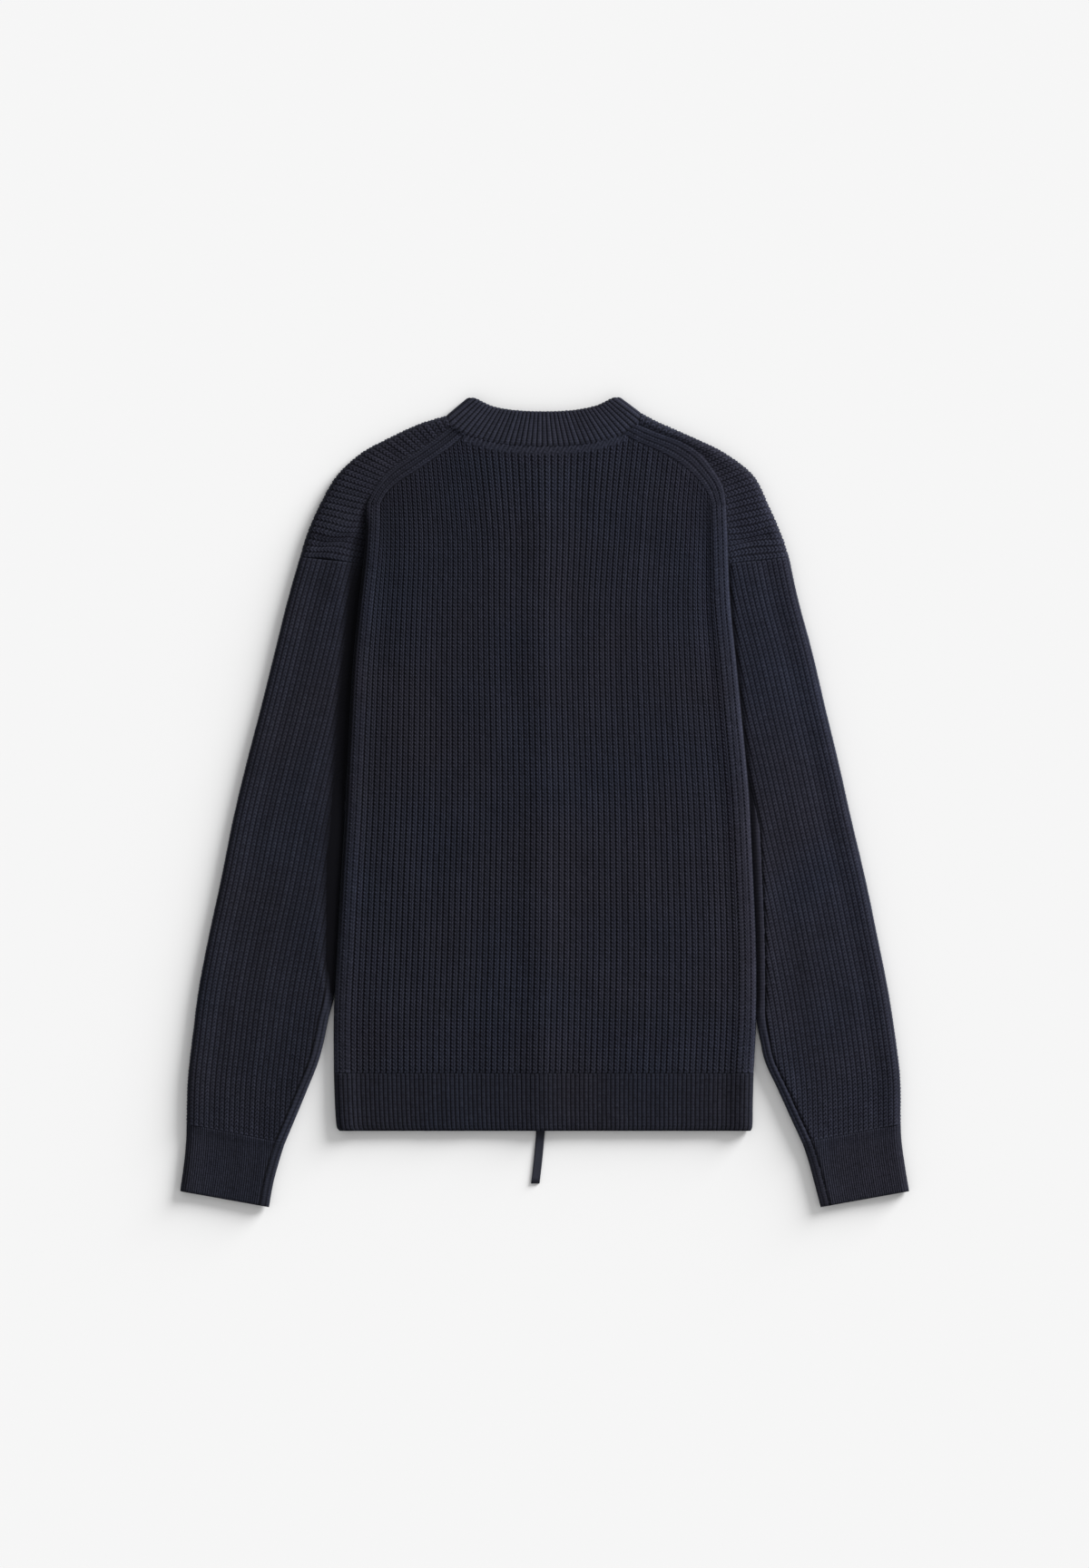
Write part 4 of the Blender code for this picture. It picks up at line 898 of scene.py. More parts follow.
def front_neck(side):
    """Front neckline from the zip to the fold at the shoulder."""
    start, _, _ = yoke_frame(side, 0)
    curve = Path(beside_zip(side, FRONT_NECK_POINTS) + [tuple(start)])
    curve = curve.at(np.linspace(0, 1, NECK_PLACES))
    curve[-1] = start
    return curve


def edge_strip(cloth, edge, y, side, closed, ends):
    """A side edge, which rolls up to its seam; returns its outer and inner lines."""
    seam = SIDE_FOOT * closed
    outer = np.stack([joined(edge - side * offset, y, share * seam)
                      for offset, share in EDGE_ROLL], axis=1)
    inner = np.stack([joined(edge - side * FRONT_ROLL, y, FRONT_WALL),
                      joined(edge - side * FRONT_WALL * closed, y,
                             lerp(FRONT_WALL, seam, closed))], axis=1)
    high, low = cloth.grid(outer, FLAT_LIFT), cloth.grid(inner)
    cloth.rim(high[:, -1], low[:, -1])
    for end in ends:
        cloth.rim(high[end], low[end], EDGE_TIES)
    return outer, inner


def close_flat(cloth, lines, wale, course):
    """The flat layer of a front or its hem, between a line at the surface and one above it."""
    for line in lines:
        cloth.polygon(line, joined(line[:, 0] / wale, line[:, 1] / course))


def floor_faces(mesh):
    return [face for face in mesh.faces if all(abs(v.co.z) < ON_FLOOR for v in face.verts)]


def flat_worker(creases, wale):
    """Cuts a flat underside into ribs and lets it rise in soft troughs."""
    def work(mesh):
        spots = np.array([v.co for face in floor_faces(mesh) for v in face.verts]) / MM
        for axis, step in ((0, wale / UNDER_POINTS), (1, UNDER_ROW)):
            normal = Vector([float(place == axis) for place in range(3)])
            low, high = spots[:, axis].min(), spots[:, axis].max()
            for k in range(math.ceil(low / step), math.floor(high / step) + 1):
                faces = floor_faces(mesh)
                parts = set(faces)
                for face in faces:
                    parts.update(face.edges)
                    parts.update(face.verts)
                bmesh.ops.bisect_plane(mesh, geom=list(parts), dist=CUT_NEAR,
                                       plane_co=normal * (k * step * MM), plane_no=normal)
        layer = mesh.verts.layers.float["lift"]
        flat = set(floor_faces(mesh))
        for vert in {v for face in flat for v in face.verts}:
            if not flat.issuperset(vert.link_faces):
                continue
            x, y = vert.co.x / MM, vert.co.y / MM
            gap = abs(x / wale - round(x / wale)) < GAP_HALF
            vert[layer] = 0.0 if gap else 1.0
            trough = float(creased(creases, x - SHIFT[0], y - SHIFT[1]))
            vert.co.z = (UNDER_RELIEF * gap + max(trough, 0.0)) * MM
    return work


def build_front(name, side, materials):
    cloth = Cloth(name)
    points, lift, knit = yoke_outer(side)
    inner, ties = yoke_inner(side)
    high, low = cloth.grid(points, lift, knit), cloth.grid(inner)
    cloth.rim(high[:, -1], low[:, -1], ties)
    for end in (0, -1):
        cloth.rim(high[end], low[end], cloth.facing(high[end], low[end]))
    y = np.linspace(BACK_FOOT, BODY_SIDES[ARMHOLE_TOP_ROW].y, EDGE_PLACES)
    strips = edge_strip(cloth, SIDE_EDGE[side](y), y, side, side_closed(y), (0,))
    edge = np.vstack([zip_edge(side, y[0]), front_neck(side)])
    lines = [np.vstack([stack(edge[:1], height), strip[:, 0], strip[-1, 1:], yoke[::-1, 0],
                        stack(edge[-2:0:-1], height)])
             for strip, yoke, height in zip(strips, (points, inner), (0.0, FRONT_WALL))]
    close_flat(cloth, lines, FRONT_WALE, BACK_COURSE)
    cloth.grid(np.stack([stack(edge, 0.0), stack(edge, FRONT_WALL)], axis=1), FLAT_LIFT)
    cloth.grid(np.array([[line[1], line[0]] for line in lines]))
    cloth.grid(np.array([[strip[-1, -1], yoke[-1, 0]]
                         for strip, yoke in zip(strips, (points, inner))]))
    return cloth.build(materials, flat_worker(FRONT_CREASES[side], FRONT_WALE))


# ---------------------------------------------------------------- hem ribs

HEM_READERS = [curve_reader([(row.y, getattr(row, key)) for row in HEM_ROWS[::-1]])
               for key in ("left", "right", "drop")]
HEM_ENDS = 0.5                # courses over which its stitches stop sliding at the ends
HEM_LIFT_EDGE, HEM_START = -3.0, 0.75
HEM_INNER_WALES, HEM_INNER_ROWS = 12, 9
HEM_PLACES = 9                # points along a side edge of the hem's fronts


def hem_surface(share, y, inner=False):
    """Points of the back's hem rib, share across it."""
    left, right, drop = [reader(y) for reader in HEM_READERS]
    distance = np.minimum(share, 1 - share) * (right - left)
    x = lerp(left, right, share)
    base = HEM_LEVEL + back_base(distance, x, BACK_FOOT) - BACK_LEVEL
    if inner:
        return joined(x, y, base - HEM_WALL), distance
    return joined(x, y, rolled(distance, SIDE_TOP, base - drop, SIDE_REACH)), distance


def build_hem_back(materials):
    cloth = Cloth("rib_hem_back")
    top, length = HEM_ROWS[0].y, HEM_ROWS[0].y - HEM_ROWS[-1].y
    ribs, courses = wale_points(0, HEM_RIBS), course_points(length / HEM_COURSE)
    count = courses[-1]
    w, c = np.meshgrid(ribs, courses)
    lift, slide = stitches(w, c, RIB, HEM_SEED)
    y = top - (c + slide * ends_faded(c, count, HEM_ENDS)) / count * length
    points, distance = hem_surface(w / HEM_RIBS, y)
    lift = lift * smooth(HEM_LIFT_EDGE, RELIEF_FADE, distance)
    lift = lift * lerp(HEM_START, 1.0, np.clip(c, 0, 1))
    points[..., 2] += worked(lift, RIB_RELIEF, RIB_DEEP) * smooth(0, RELIEF_FADE, distance)
    high = cloth.grid(points, lift, joined(w, c))
    kept, rows = every(len(ribs), HEM_INNER_WALES), every(len(courses), HEM_INNER_ROWS)
    share, low_y = np.meshgrid(ribs[kept] / HEM_RIBS, top - courses[rows] / count * length)
    inner, _ = hem_surface(share, low_y, inner=True)
    for column, inward in ((0, 1), (-1, -1)):
        inner[:, column, 0] += inward * BACK_WALL
        inner[:, column, 2] = SIDE_TOP
    low = cloth.grid(inner)
    for end in (0, -1):
        cloth.rim(high[end], low[end], kept)
    for column in (0, -1):
        cloth.rim(high[:, column], low[:, column], rows)
    return cloth.build(materials)


def build_hem_front(name, side, materials):
    cloth = Cloth(name)
    y = np.linspace(HEM_ROWS[-1].y, HEM_ROWS[0].y, HEM_PLACES)
    edge = HEM_READERS[0 if side == LEFT else 1](y)
    strips = edge_strip(cloth, edge, y, side, 1.0, (0, -1))
    opening = zip_edge(side, y[[-1, 0]])
    corners = [stack(opening, height) for height in (0.0, FRONT_WALL)]
    close_flat(cloth, [np.vstack([strip[:, 0], corner]) for strip, corner in zip(strips, corners)],
               HEM_WALE, HEM_COURSE)
    around = [np.vstack([strip[-1:, 0], corner, strip[:1, 0]])
              for strip, corner in zip(strips, corners)]
    cloth.grid(np.stack(around, axis=1), FLAT_LIFT)
    return cloth.build(materials, flat_worker(FRONT_CREASES[side], HEM_WALE))


# ---------------------------------------------------------------- sleeves and cuffs

Tube = namedtuple("Tube", "level fold_puff armhole_puff under_puff wale course folds relief deep "
                          "knit")
SLEEVE = Tube(level=8.6, fold_puff=1.8, armhole_puff=-0.6, under_puff=1.2, wale=4.9, course=3.35,
              folds=4, relief=1.2, deep=0.7, knit=SLEEVE_KNIT)
CUFF = Tube(level=8.0, fold_puff=0.8, armhole_puff=0.8, under_puff=0.8, wale=2.1, course=2.4,
            folds=9, relief=0.5, deep=0.25, knit=FINE_RIB)
SEAM_ROLL = [(0.0, 0.35), (1.0, 0.75), (2.1, 0.95), (3.1, 0.80), (3.9, 0.32), (5.0, 0.75),
             (6.6, 0.95), (8.0, 0.70)]    # distance from the underarm seam, and lift there
SEAM_PLAIN = 0.8              # the ridge's lift where it is hidden against the body
TUBE_ENDS = 0.7               # courses over which stitches stop sliding at the ends
TUBE_LIFT_EDGE = (-0.5, 3.0)
TUBE_INNER_STEP = 8           # points between the rows of the plain sides
WIDTH_PLACES = 60             # places at which a tube's greatest width is looked for
TAIL = [(SIDE_REACH - 1.0, 0.0), (3.0, 0.28), (1.0, 0.55), (0.0, 1.0)]
MEETING = {LEFT: (-214.0, -176.0), RIGHT: (-236.0, -200.0)}    # a sleeve leaves the body here
Rung = namedtuple("Rung", "outer inner inward width closed")


class Ladder:
    """Outer and inner plan edges of a sleeve or cuff, read by the length along the outer one."""

    def __init__(self, side, armhole, free):
        self.side = side
        body_y = [row.y for row in BODY_SIDES[UNDERARM_ROW:ARMHOLE_TOP_ROW + 1]][::-1]
        outer = [(side_of(row, side), row.y) for row in armhole + free]
        inner = [(SIDE_EDGE[side](y) - side * TUCK, y) for y in body_y[:len(armhole)]]
        inner += [(row.inner_left if side == LEFT else row.inner_right, row.y - row.fall)
                  for row in free]
        for line in (outer, inner):
            line[0] = (line[0][0], line[0][1] + SEAM + (0 if armhole else TUCK))
        self.outer, self.inner = rounded(outer), rounded(inner)
        rows = np.arange(len(self.outer)) / CURVE_STEPS
        self.closed = np.clip(rows - (len(armhole) - 1), 0, 1) if armhole else np.ones(len(rows))
        self.gone = gone_along(self.outer)
        self.length = self.gone[-1]

    def at(self, gone):
        outer_x, outer_y, x, y, closed = [np.interp(gone, self.gone, values) for values in
                                          (*self.outer.T, *self.inner.T, self.closed)]
        body = self.side * SIDE_EDGE[self.side](y) - TUCK
        beside = lerp(np.maximum(self.side * x, body), body, smooth(*MEETING[self.side], y))
        x = self.side * np.where(y > BACK_FOOT, beside, self.side * x)
        outer, inner = joined(outer_x, outer_y), joined(x, y)
        width = length_of(inner - outer)
        return Rung(outer, inner, (inner - outer) / width[..., None], width, closed)


def spot(rung, distance):
    """Plan points at a distance in from the outer edge."""
    return rung.outer + rung.inward * np.broadcast_to(distance, rung.width.shape)[..., None]


def tube_level(tube, rung, distance):
    plan = spot(rung, distance)
    under = lerp(tube.armhole_puff, tube.under_puff, rung.closed)
    return (tube.level + tube.fold_puff * (1 - smooth(FOLD_REACH, PUFF_REACH, distance))
            + under * (1 - smooth(SIDE_REACH, PUFF_REACH, rung.width - distance))
            + unevenness(plan[..., 0], plan[..., 1])
            + creased(SLEEVE_CREASES, plan[..., 0], plan[..., 1]))


def tube_top(ladder, tube, seed):
    """The knitted top of a sleeve or cuff, from its underarm seam over to under its fold."""
    side, count = ladder.side, round(ladder.length / tube.course)
    courses = course_points(count)
    rung = ladder.at(np.linspace(0, ladder.length, WIDTH_PLACES))
    widest = (rung.width - SIDE_REACH * rung.closed).max()
    from_seam, seam_lift = np.array(SEAM_ROLL).T
    rolls = len(from_seam)
    flat = wale_points(0, math.ceil((widest - FOLD_REACH) / tube.wale))[::-1]
    rolled_in = flat[0] + (SIDE_REACH - from_seam) / tube.wale
    w, c = np.meshgrid(np.concatenate([rolled_in, flat, -wale_points(0, tube.folds)[1:]]), courses)
    lift, slide = stitches(w, c, tube.knit, seed)
    slide[:, :rolls] = 0.0
    ends = ends_faded(c, count, TUBE_ENDS)
    across = FOLD_REACH + np.clip(w, 0, None) * tube.wale
    rung = ladder.at(c / count * ladder.length)
    room = rung.width - SIDE_REACH * rung.closed - across
    slide = slide * ends * np.clip(room / tube.wale, 0, 1)
    rung = ladder.at((c + slide) / count * ladder.length)
    width, closed = rung.width, rung.closed
    roll = width - SIDE_REACH * closed
    distance = np.minimum(across, roll)
    distance[:, :rolls] = width[:, :rolls] - from_seam * closed[:, :rolls]
    from_edge = width - distance
    angle = math.pi * np.clip(-w / tube.folds, 0, 1)
    plan, level = spot(rung, distance), tube_level(tube, rung, distance)
    dipped = lerp(ARMHOLE_EDGE, level, smooth(0, SIDE_REACH, from_edge))
    high = lerp(dipped, rolled(from_edge, SIDE_TOP, level, SIDE_REACH), closed)
    fold = valley(side, from_edge, plan[..., 1])
    crown = level[:, rolls + len(flat) - 1][:, None]
    base = np.where((w < 0)[..., None],
                    folded(spot(rung, FOLD_REACH), -rung.inward, angle, crown),
                    stack(plan, sunk(side, high, fold)))
    crest = 1 - np.abs(2 * (courses - np.floor(courses)) - 1)
    hidden = smooth(*MEETING[side], rung.inner[:, :rolls, 1])
    lift = lift * smooth(*TUBE_LIFT_EDGE, roll - distance) * smooth(*RELIEF_EDGE, from_edge)
    lift[:, :rolls] = (lerp(seam_lift, SEAM_PLAIN, hidden) * lerp(END_LIFT, 1.0, crest)[:, None]
                       * closed[:, :rolls])
    # painted shade: a sleeve's yarn darkens into the fold and towards the body
    if tube is SLEEVE:
        lift = lift * painted_shade_factor(side, from_edge, fold)
    edge = smooth(*RELIEF_EDGE, from_edge) * showing(angle)
    relief = worked(lift, tube.relief, tube.deep) * edge * lerp(END_LIFT, 1.0, ends)
    points = pushed(base, -rung.inward, angle, relief)
    return points, lift, joined(w, c), courses / count * ladder.length


def tube_bottom(ladder, tube, gone):
    """The flat layer below, with coarse ribs, up to the underarm seam."""
    rung = ladder.at(gone)
    wale = max(tube.wale, SLEEVE.wale)
    widest = rung.width.max() - SIDE_REACH - FOLD_REACH
    k = np.arange(1, math.ceil(widest / wale) * UNDER_POINTS)
    roll = (rung.width - SIDE_REACH)[:, None]
    distance = np.minimum(FOLD_REACH + k * wale / UNDER_POINTS, roll)
    gap = (k % UNDER_POINTS == 0) * smooth(0, 2, roll - distance)
    plan = rung.outer[:, None] + rung.inward[:, None] * distance[..., None]
    tail = [stack(spot(rung, rung.width - offset), height * SIDE_FOOT * rung.closed)
            for offset, height in TAIL]
    points = np.concatenate([stack(plan, UNDER_RELIEF * gap), np.stack(tail, axis=1)], axis=1)
    lift = np.concatenate([np.where(gap > 0, 0.0, 1.0),
                           np.full((len(gone), len(TAIL)), FLAT_LIFT)], axis=1)
    u = np.arange(1, len(k) + len(TAIL) + 1) / UNDER_POINTS
    return points, lift, np.stack(np.meshgrid(u, gone / tube.course), axis=-1)


def tube_inner(ladder, tube, gone):
    """The plain inner side, from the top of the underarm seam round the fold and back."""
    rung = ladder.at(gone)
    seam_in, roll = rung.width - BACK_WALL * rung.closed, rung.width - SIDE_REACH
    rows = [stack(spot(rung, seam_in), lerp(LAYER_TOP, SIDE_TOP, rung.closed))]
    for distance in (roll, rung.width - PUFF_REACH, PUFF_REACH, FOLD_REACH):
        height = np.maximum(tube_level(tube, rung, distance) - BACK_WALL, LAYER_TOP)
        rows.append(stack(spot(rung, distance), height))
    start, crown = spot(rung, FOLD_REACH), tube_level(tube, rung, FOLD_REACH)
    for angle in (math.pi / 2, math.pi):
        rows.append(folded(start, -rung.inward, angle, crown, BACK_WALL))
    rows.append(stack(spot(rung, roll), FRONT_WALL))
    rows.append(stack(spot(rung, seam_in), lerp(FRONT_WALL, SIDE_FOOT, rung.closed)))
    return np.stack(rows, axis=1)


def build_tube(name, ladder, tube, seed, materials):
    cloth = Cloth(name)
    points, lift, knit, gone = tube_top(ladder, tube, seed + ladder.side)
    if tube is CUFF:
        step = CUFF_STEP * (1 - smooth(0, CUFF_EASE, gone))[:, None]
        points[..., 2] += step * smooth(SIDE_SEAM, CUFF.level, points[..., 2])
        last = np.clip(1 - (gone[-1] - gone) / CUFF_ROUND, 0, 1)[:, None]
        points[..., 2] -= CUFF_DROP * (1 - np.sqrt(1 - last ** 2)) * (points[..., 2] > SIDE_SEAM)
    high = cloth.grid(points, lift, knit)
    kept = every(len(gone), TUBE_INNER_STEP)
    below = cloth.grid(*tube_bottom(ladder, tube, gone[kept]))
    inner = cloth.grid(tube_inner(ladder, tube, gone[kept]))
    cloth.rim(high[:, -1], below[:, 0], kept)
    cloth.rim(high[:, 0], inner[:, 0], kept)
    cloth.rim(below[:, -1], inner[:, -1])
    for end in (0, -1):
        loop = np.concatenate([high[end], below[end]])
        cloth.rim(loop, inner[end], cloth.facing(loop, inner[end]))
    return cloth.build(materials)


# ---------------------------------------------------------------- collar

COLLAR_ENDS = 0.6             # courses over which its stitches stop sliding at the edges
COLLAR_RISE = (0.0, 1.2)      # its ribs rise from the seam over these courses
Station = namedtuple("Station", "seam top seam_out top_out angle rib")


def collar_ends(side):
    """Where the collar's two edges leave the flat of the back, and their outward directions."""
    start, _, seam_out = yoke_frame(side, 0)
    tip = np.array(COLLAR_TIP[side])
    top_out = unit(tip - np.array(COLLAR_TOP_POINTS[0 if side == LEFT else -1]))
    return start, tip - top_out * FOLD_REACH, seam_out, top_out


def collar_lines():
    """The band's lines from the left zip edge, over the back of the neck, to the right one."""
    ends = {side: collar_ends(side) for side, _ in SIDES}
    flat = np.zeros(2)

    def straight(seam, top, ribs, count, angle, first):
        return [Station(*edges, flat, flat, angle, rib - first)
                for *edges, rib in zip(seam.at(ribs / count), top.at(ribs / count), ribs)]

    def front_half(side):
        top = Path(beside_zip(side, FRONT_COLLAR_POINTS) + [tuple(ends[side][1])])
        return straight(Path(front_neck(side), False), top, wale_points(0, FRONT_HALF), FRONT_HALF,
                        math.pi, FRONT_HALF)

    def fold(side):
        steps = COLLAR_FOLD_RIBS * PER_WALE
        return [Station(*ends[side], math.pi * (1 - i / steps), i / PER_WALE)
                for i in range(1, steps)]

    seam = np.vstack([ends[LEFT][0], SHOULDER[LEFT].at(0.0), NECKLINE.points,
                      SHOULDER[RIGHT].at(0.0), ends[RIGHT][0]])
    top = Path([tuple(ends[LEFT][1])] + COLLAR_TOP_POINTS + [tuple(ends[RIGHT][1])])
    back = straight(Path(seam, False), top, wale_points(0, COLLAR_RIBS), COLLAR_RIBS, 0.0, 0)
    lines = front_half(LEFT) + fold(LEFT) + back + fold(RIGHT)[::-1] + front_half(RIGHT)[::-1]
    return Station(*[np.array(values) for values in zip(*lines)])


def build_collar(materials):
    cloth = Cloth("rib_collar")
    lines = collar_lines()
    reach = (FOLD_REACH * np.sin(lines.angle))[:, None]
    square = square_to(np.gradient(lines.seam + lines.seam_out * reach, axis=0))
    up = np.sum(square * (lines.top - lines.seam), axis=-1, keepdims=True)
    seam = lines.seam - unit(square) * np.sign(up) * TUCK
    length = length_of(lines.top - lines.seam).max()
    count = round(length / COLLAR_COURSE)
    c, w = np.meshgrid(course_points(count), lines.rib)
    lift, slide = stitches(w, c, RIB, COLLAR_SEED)
    across = (c + slide * ends_faded(c, count, COLLAR_ENDS)) / count
    edge = lines.top + lines.top_out * reach
    tips = np.array([COLLAR_TIP[LEFT], COLLAR_TIP[RIGHT]])
    from_tip = length_of(edge[:, None] - tips).min(axis=1)
    inside = np.clip(TIP_ROUND - from_tip, 0, TIP_ROUND)
    shorter = TIP_ROUND - np.sqrt(TIP_ROUND ** 2 - inside ** 2)
    shorter = (shorter + SCALLOP * (1 - lift.mean(axis=1))) / length
    across = across * (1 - shorter[:, None] * across)
    angle = lines.angle[:, None]

    def at(rows, share):
        """Start and outward direction of the fold at a share from the seam to the top."""
        return (lerp(seam[rows], lines.top[rows], share),
                lerp(lines.seam_out[rows], lines.top_out[rows], share))

    every_row = (slice(None), None)
    start, out = at(every_row, across[..., None])
    base = folded(start, out, angle, COLLAR_LEVEL)
    near_rim = np.clip((across - RIM_START) / (1 - RIM_START), 0, 1)
    from_seam = smooth(*COLLAR_RISE, c)
    # painted shade: the yarn darkens towards the collar's top edge
    lift = lift * lerp(END_LIFT, 1.0, from_seam) * (1 - RIM_PAINTED_SHADE * near_rim)
    under = -UNDER_RELIEF * np.clip(1 - lift, 0, 1)
    relief = lerp(under, worked(lift, RIB_RELIEF, RIB_DEEP), showing(angle)) * from_seam
    drop = (1 - np.sqrt(1 - near_rim ** 2)) * RIM_DROP
    high = cloth.grid(pushed(base, out, angle, relief - drop), lift, joined(w, c))
    kept = every(len(lines.rib), PER_WALE)
    low = cloth.grid(np.stack([folded(*at(kept, share), lines.angle[kept], COLLAR_LEVEL, BACK_WALL)
                               for share in (RIM_START, 0.0)], axis=1))
    cloth.rim(high[:, -1], low[:, 0], kept)
    cloth.rim(high[:, 0], low[:, 1], kept)
    for end in (0, -1):
        cloth.polygons.append(np.concatenate([high[end], low[end]]))
    return cloth.build(materials)


# ---------------------------------------------------------------- zip

Tape = namedtuple("Tape", "inner wide middle foot head")
TAPE = Tape(3.2, 13.8, 4.4, -314.25, 299.0)
TAPE_EDGES = [(0.0, 0.0), (0.15, 0.35), (0.5, 0.5), (1.1, 0.5), (1.6, 0.42), (2.1, 0.30),
              (6.0, 0.32), (10.0, 0.30), (13.2, 0.26), (13.6, 0.18), (13.8, 0.0)]
TAPE_STEP = 4.0
TAPE_WAVE, TAPE_WAVE_LONG = 0.05, 9.0
WEAVE = 0.6                   # from one warp thread to the next

TOOTH_PITCH = 2.5
TOOTH = [(2.9, -0.85), (2.9, 0.85), (0.7, 0.85), (0.3, 0.5), (-0.5, 0.62), (-0.9, 0.3),
         (-0.9, -0.3), (-0.5, -0.62), (0.3, -0.5), (0.7, -0.85)]
TOOTH_LEVELS = [(3.3, 0.25), (3.5, 0.06), (3.65, 0.0), (5.15, 0.0), (5.3, 0.06), (5.5, 0.25)]

Slider = namedtuple("Slider", "name low wide_end")
SLIDERS = [Slider("slider_bottom", -309.4, 0), Slider("slider_top", 284.0, 1)]
SLIDER_LONG = 13.0
SLIDER_HALF, SLIDER_NECK = 5.25, 4.4    # half of its wide and of its narrow end
SLIDER_ROUND, ROUND_STEPS = 1.8, 6
PLATE_LOW, PLATE_HIGH, PLATE = 2.2, 5.8, 0.8
FLANGE, FLANGE_HIGH = 0.75, 0.6
POST_HALF, POST_LONG, POST_INSET = 1.2, 3.6, 1.5
POST = [(0, 0), (1, 0.35), (0.7, 0.8), (0, 1), (-0.7, 0.8), (-1, 0.35)]    # its plan, in shares
BAR_OUT, BAR_LOW, BAR_THICK, BAR_SIDES = 2.1, 1.1, 0.7, 12
ARM, ARM_IN = 0.8, 1.6
CHAIN_CLEAR = POST_INSET + POST_LONG + SEAM
CUT = 0.18                    # rounding of metal edges

PULL_HALF, PULL_THICK, PULL_RISE, PULL_LONG, PULL_SLIT = 4.15, 0.8, 11.0, 58.0, 0.3
PULL_LEAN = {"slider_bottom": -5.6, "slider_top": 0.6}
PULL_KNEE = 0.62              # the lean is slower above the knee
PULL_POINTS, PULL_SQUARE = 15, 10    # points across, and how square its edges are
PULL_STEPS, BEND_POINTS = 4, 9
PULL_LOOP = 2.0               # its upper half stays level over this length from the bend
PULL_EASE = [(4.0, 0.5, 0.0), (0.0, 0.0, 0.05), (-3.0, 0.0, 0.0)]    # its upper half comes down
STITCH_LONG, STITCH_STEP, STITCH_HALF, STITCH_PROUD, STITCH_IN = 2.3, 3.1, 0.22, 0.12, 0.95
STITCH_START, STITCH_CLEAR = 1.6, 2.0
STITCH_RINGS = [(-1.0, 0.0), (0.5, 0.03), (1.0, STITCH_HALF * 0.7)]


def loft(piece, rings, knit=(0.0, 0.0)):
    """Adds a closed solid through rings of points; each ring runs once around."""
    index = piece.add(rings, FLAT_LIFT, knit)
    ahead = np.roll(index, -1, axis=1)
    piece.quads.append(np.stack([index[:-1], ahead[:-1], ahead[1:], index[1:]],
                                axis=-1).reshape(-1, 4))
    piece.polygons += [index[0], index[-1]]


def prism(piece, outline, levels):
    """Adds a solid over a plan outline; levels are its (height, inset) rings."""
    outline = np.array(outline, float)
    ahead = np.roll(outline, -1, axis=0)
    area = np.sum(square_to(outline) * ahead)
    inward = unit(square_to(ahead - np.roll(outline, 1, axis=0))) * np.sign(area)
    loft(piece, np.stack([stack(outline + inward * inset, height) for height, inset in levels]))


def plain_levels(low, high):
    return [(low, CUT), (low + CUT, 0.0), (high - CUT, 0.0), (high, CUT)]


def rectangle(x0, x1, y0, y1):
    return [(x0, y0), (x1, y0), (x1, y1), (x0, y1)]


def build_metal(piece, material):
    obj = piece.build([material])
    obj.data.set_sharp_from_angle(angle=METAL_EDGE)
    return obj


def build_tape(name, side, material):
    """A woven tape; its inner edge is a rounded cord that carries the teeth."""
    piece = Cloth(name)
    ring = TAPE_EDGES + [(offset, -half) for offset, half in TAPE_EDGES[-2:0:-1]]
    offset, half = np.array(ring).T
    y = np.linspace(TAPE.foot, TAPE.head, int((TAPE.head - TAPE.foot) / TAPE_STEP))[:, None]
    wave = TAPE_WAVE * np.sin(y / TAPE_WAVE_LONG + side) * (offset / TAPE.wide)
    rings = joined(zip_line(y) + side * (TAPE.inner + offset), y, TAPE.middle + half + wave)
    loft(piece, rings, joined(offset / WEAVE, y / WEAVE))
    return piece.build([material])


def build_chain(material):
    """Closed teeth: those of the left tape stand between those of the right one."""
    piece = Cloth("zip_teeth")
    low = SLIDERS[0].low + CHAIN_CLEAR + TOOTH_PITCH / 2
    high = SLIDERS[1].low + SLIDER_LONG - CHAIN_CLEAR - TOOTH_PITCH / 2
    for number in range(int((high - low) / TOOTH_PITCH * 2)):
        y = low + number * TOOTH_PITCH / 2
        side = LEFT if number % 2 else RIGHT
        prism(piece, np.array(TOOTH) * (side, 1) + (zip_line(y), y), TOOTH_LEVELS)
    return build_metal(piece, material)


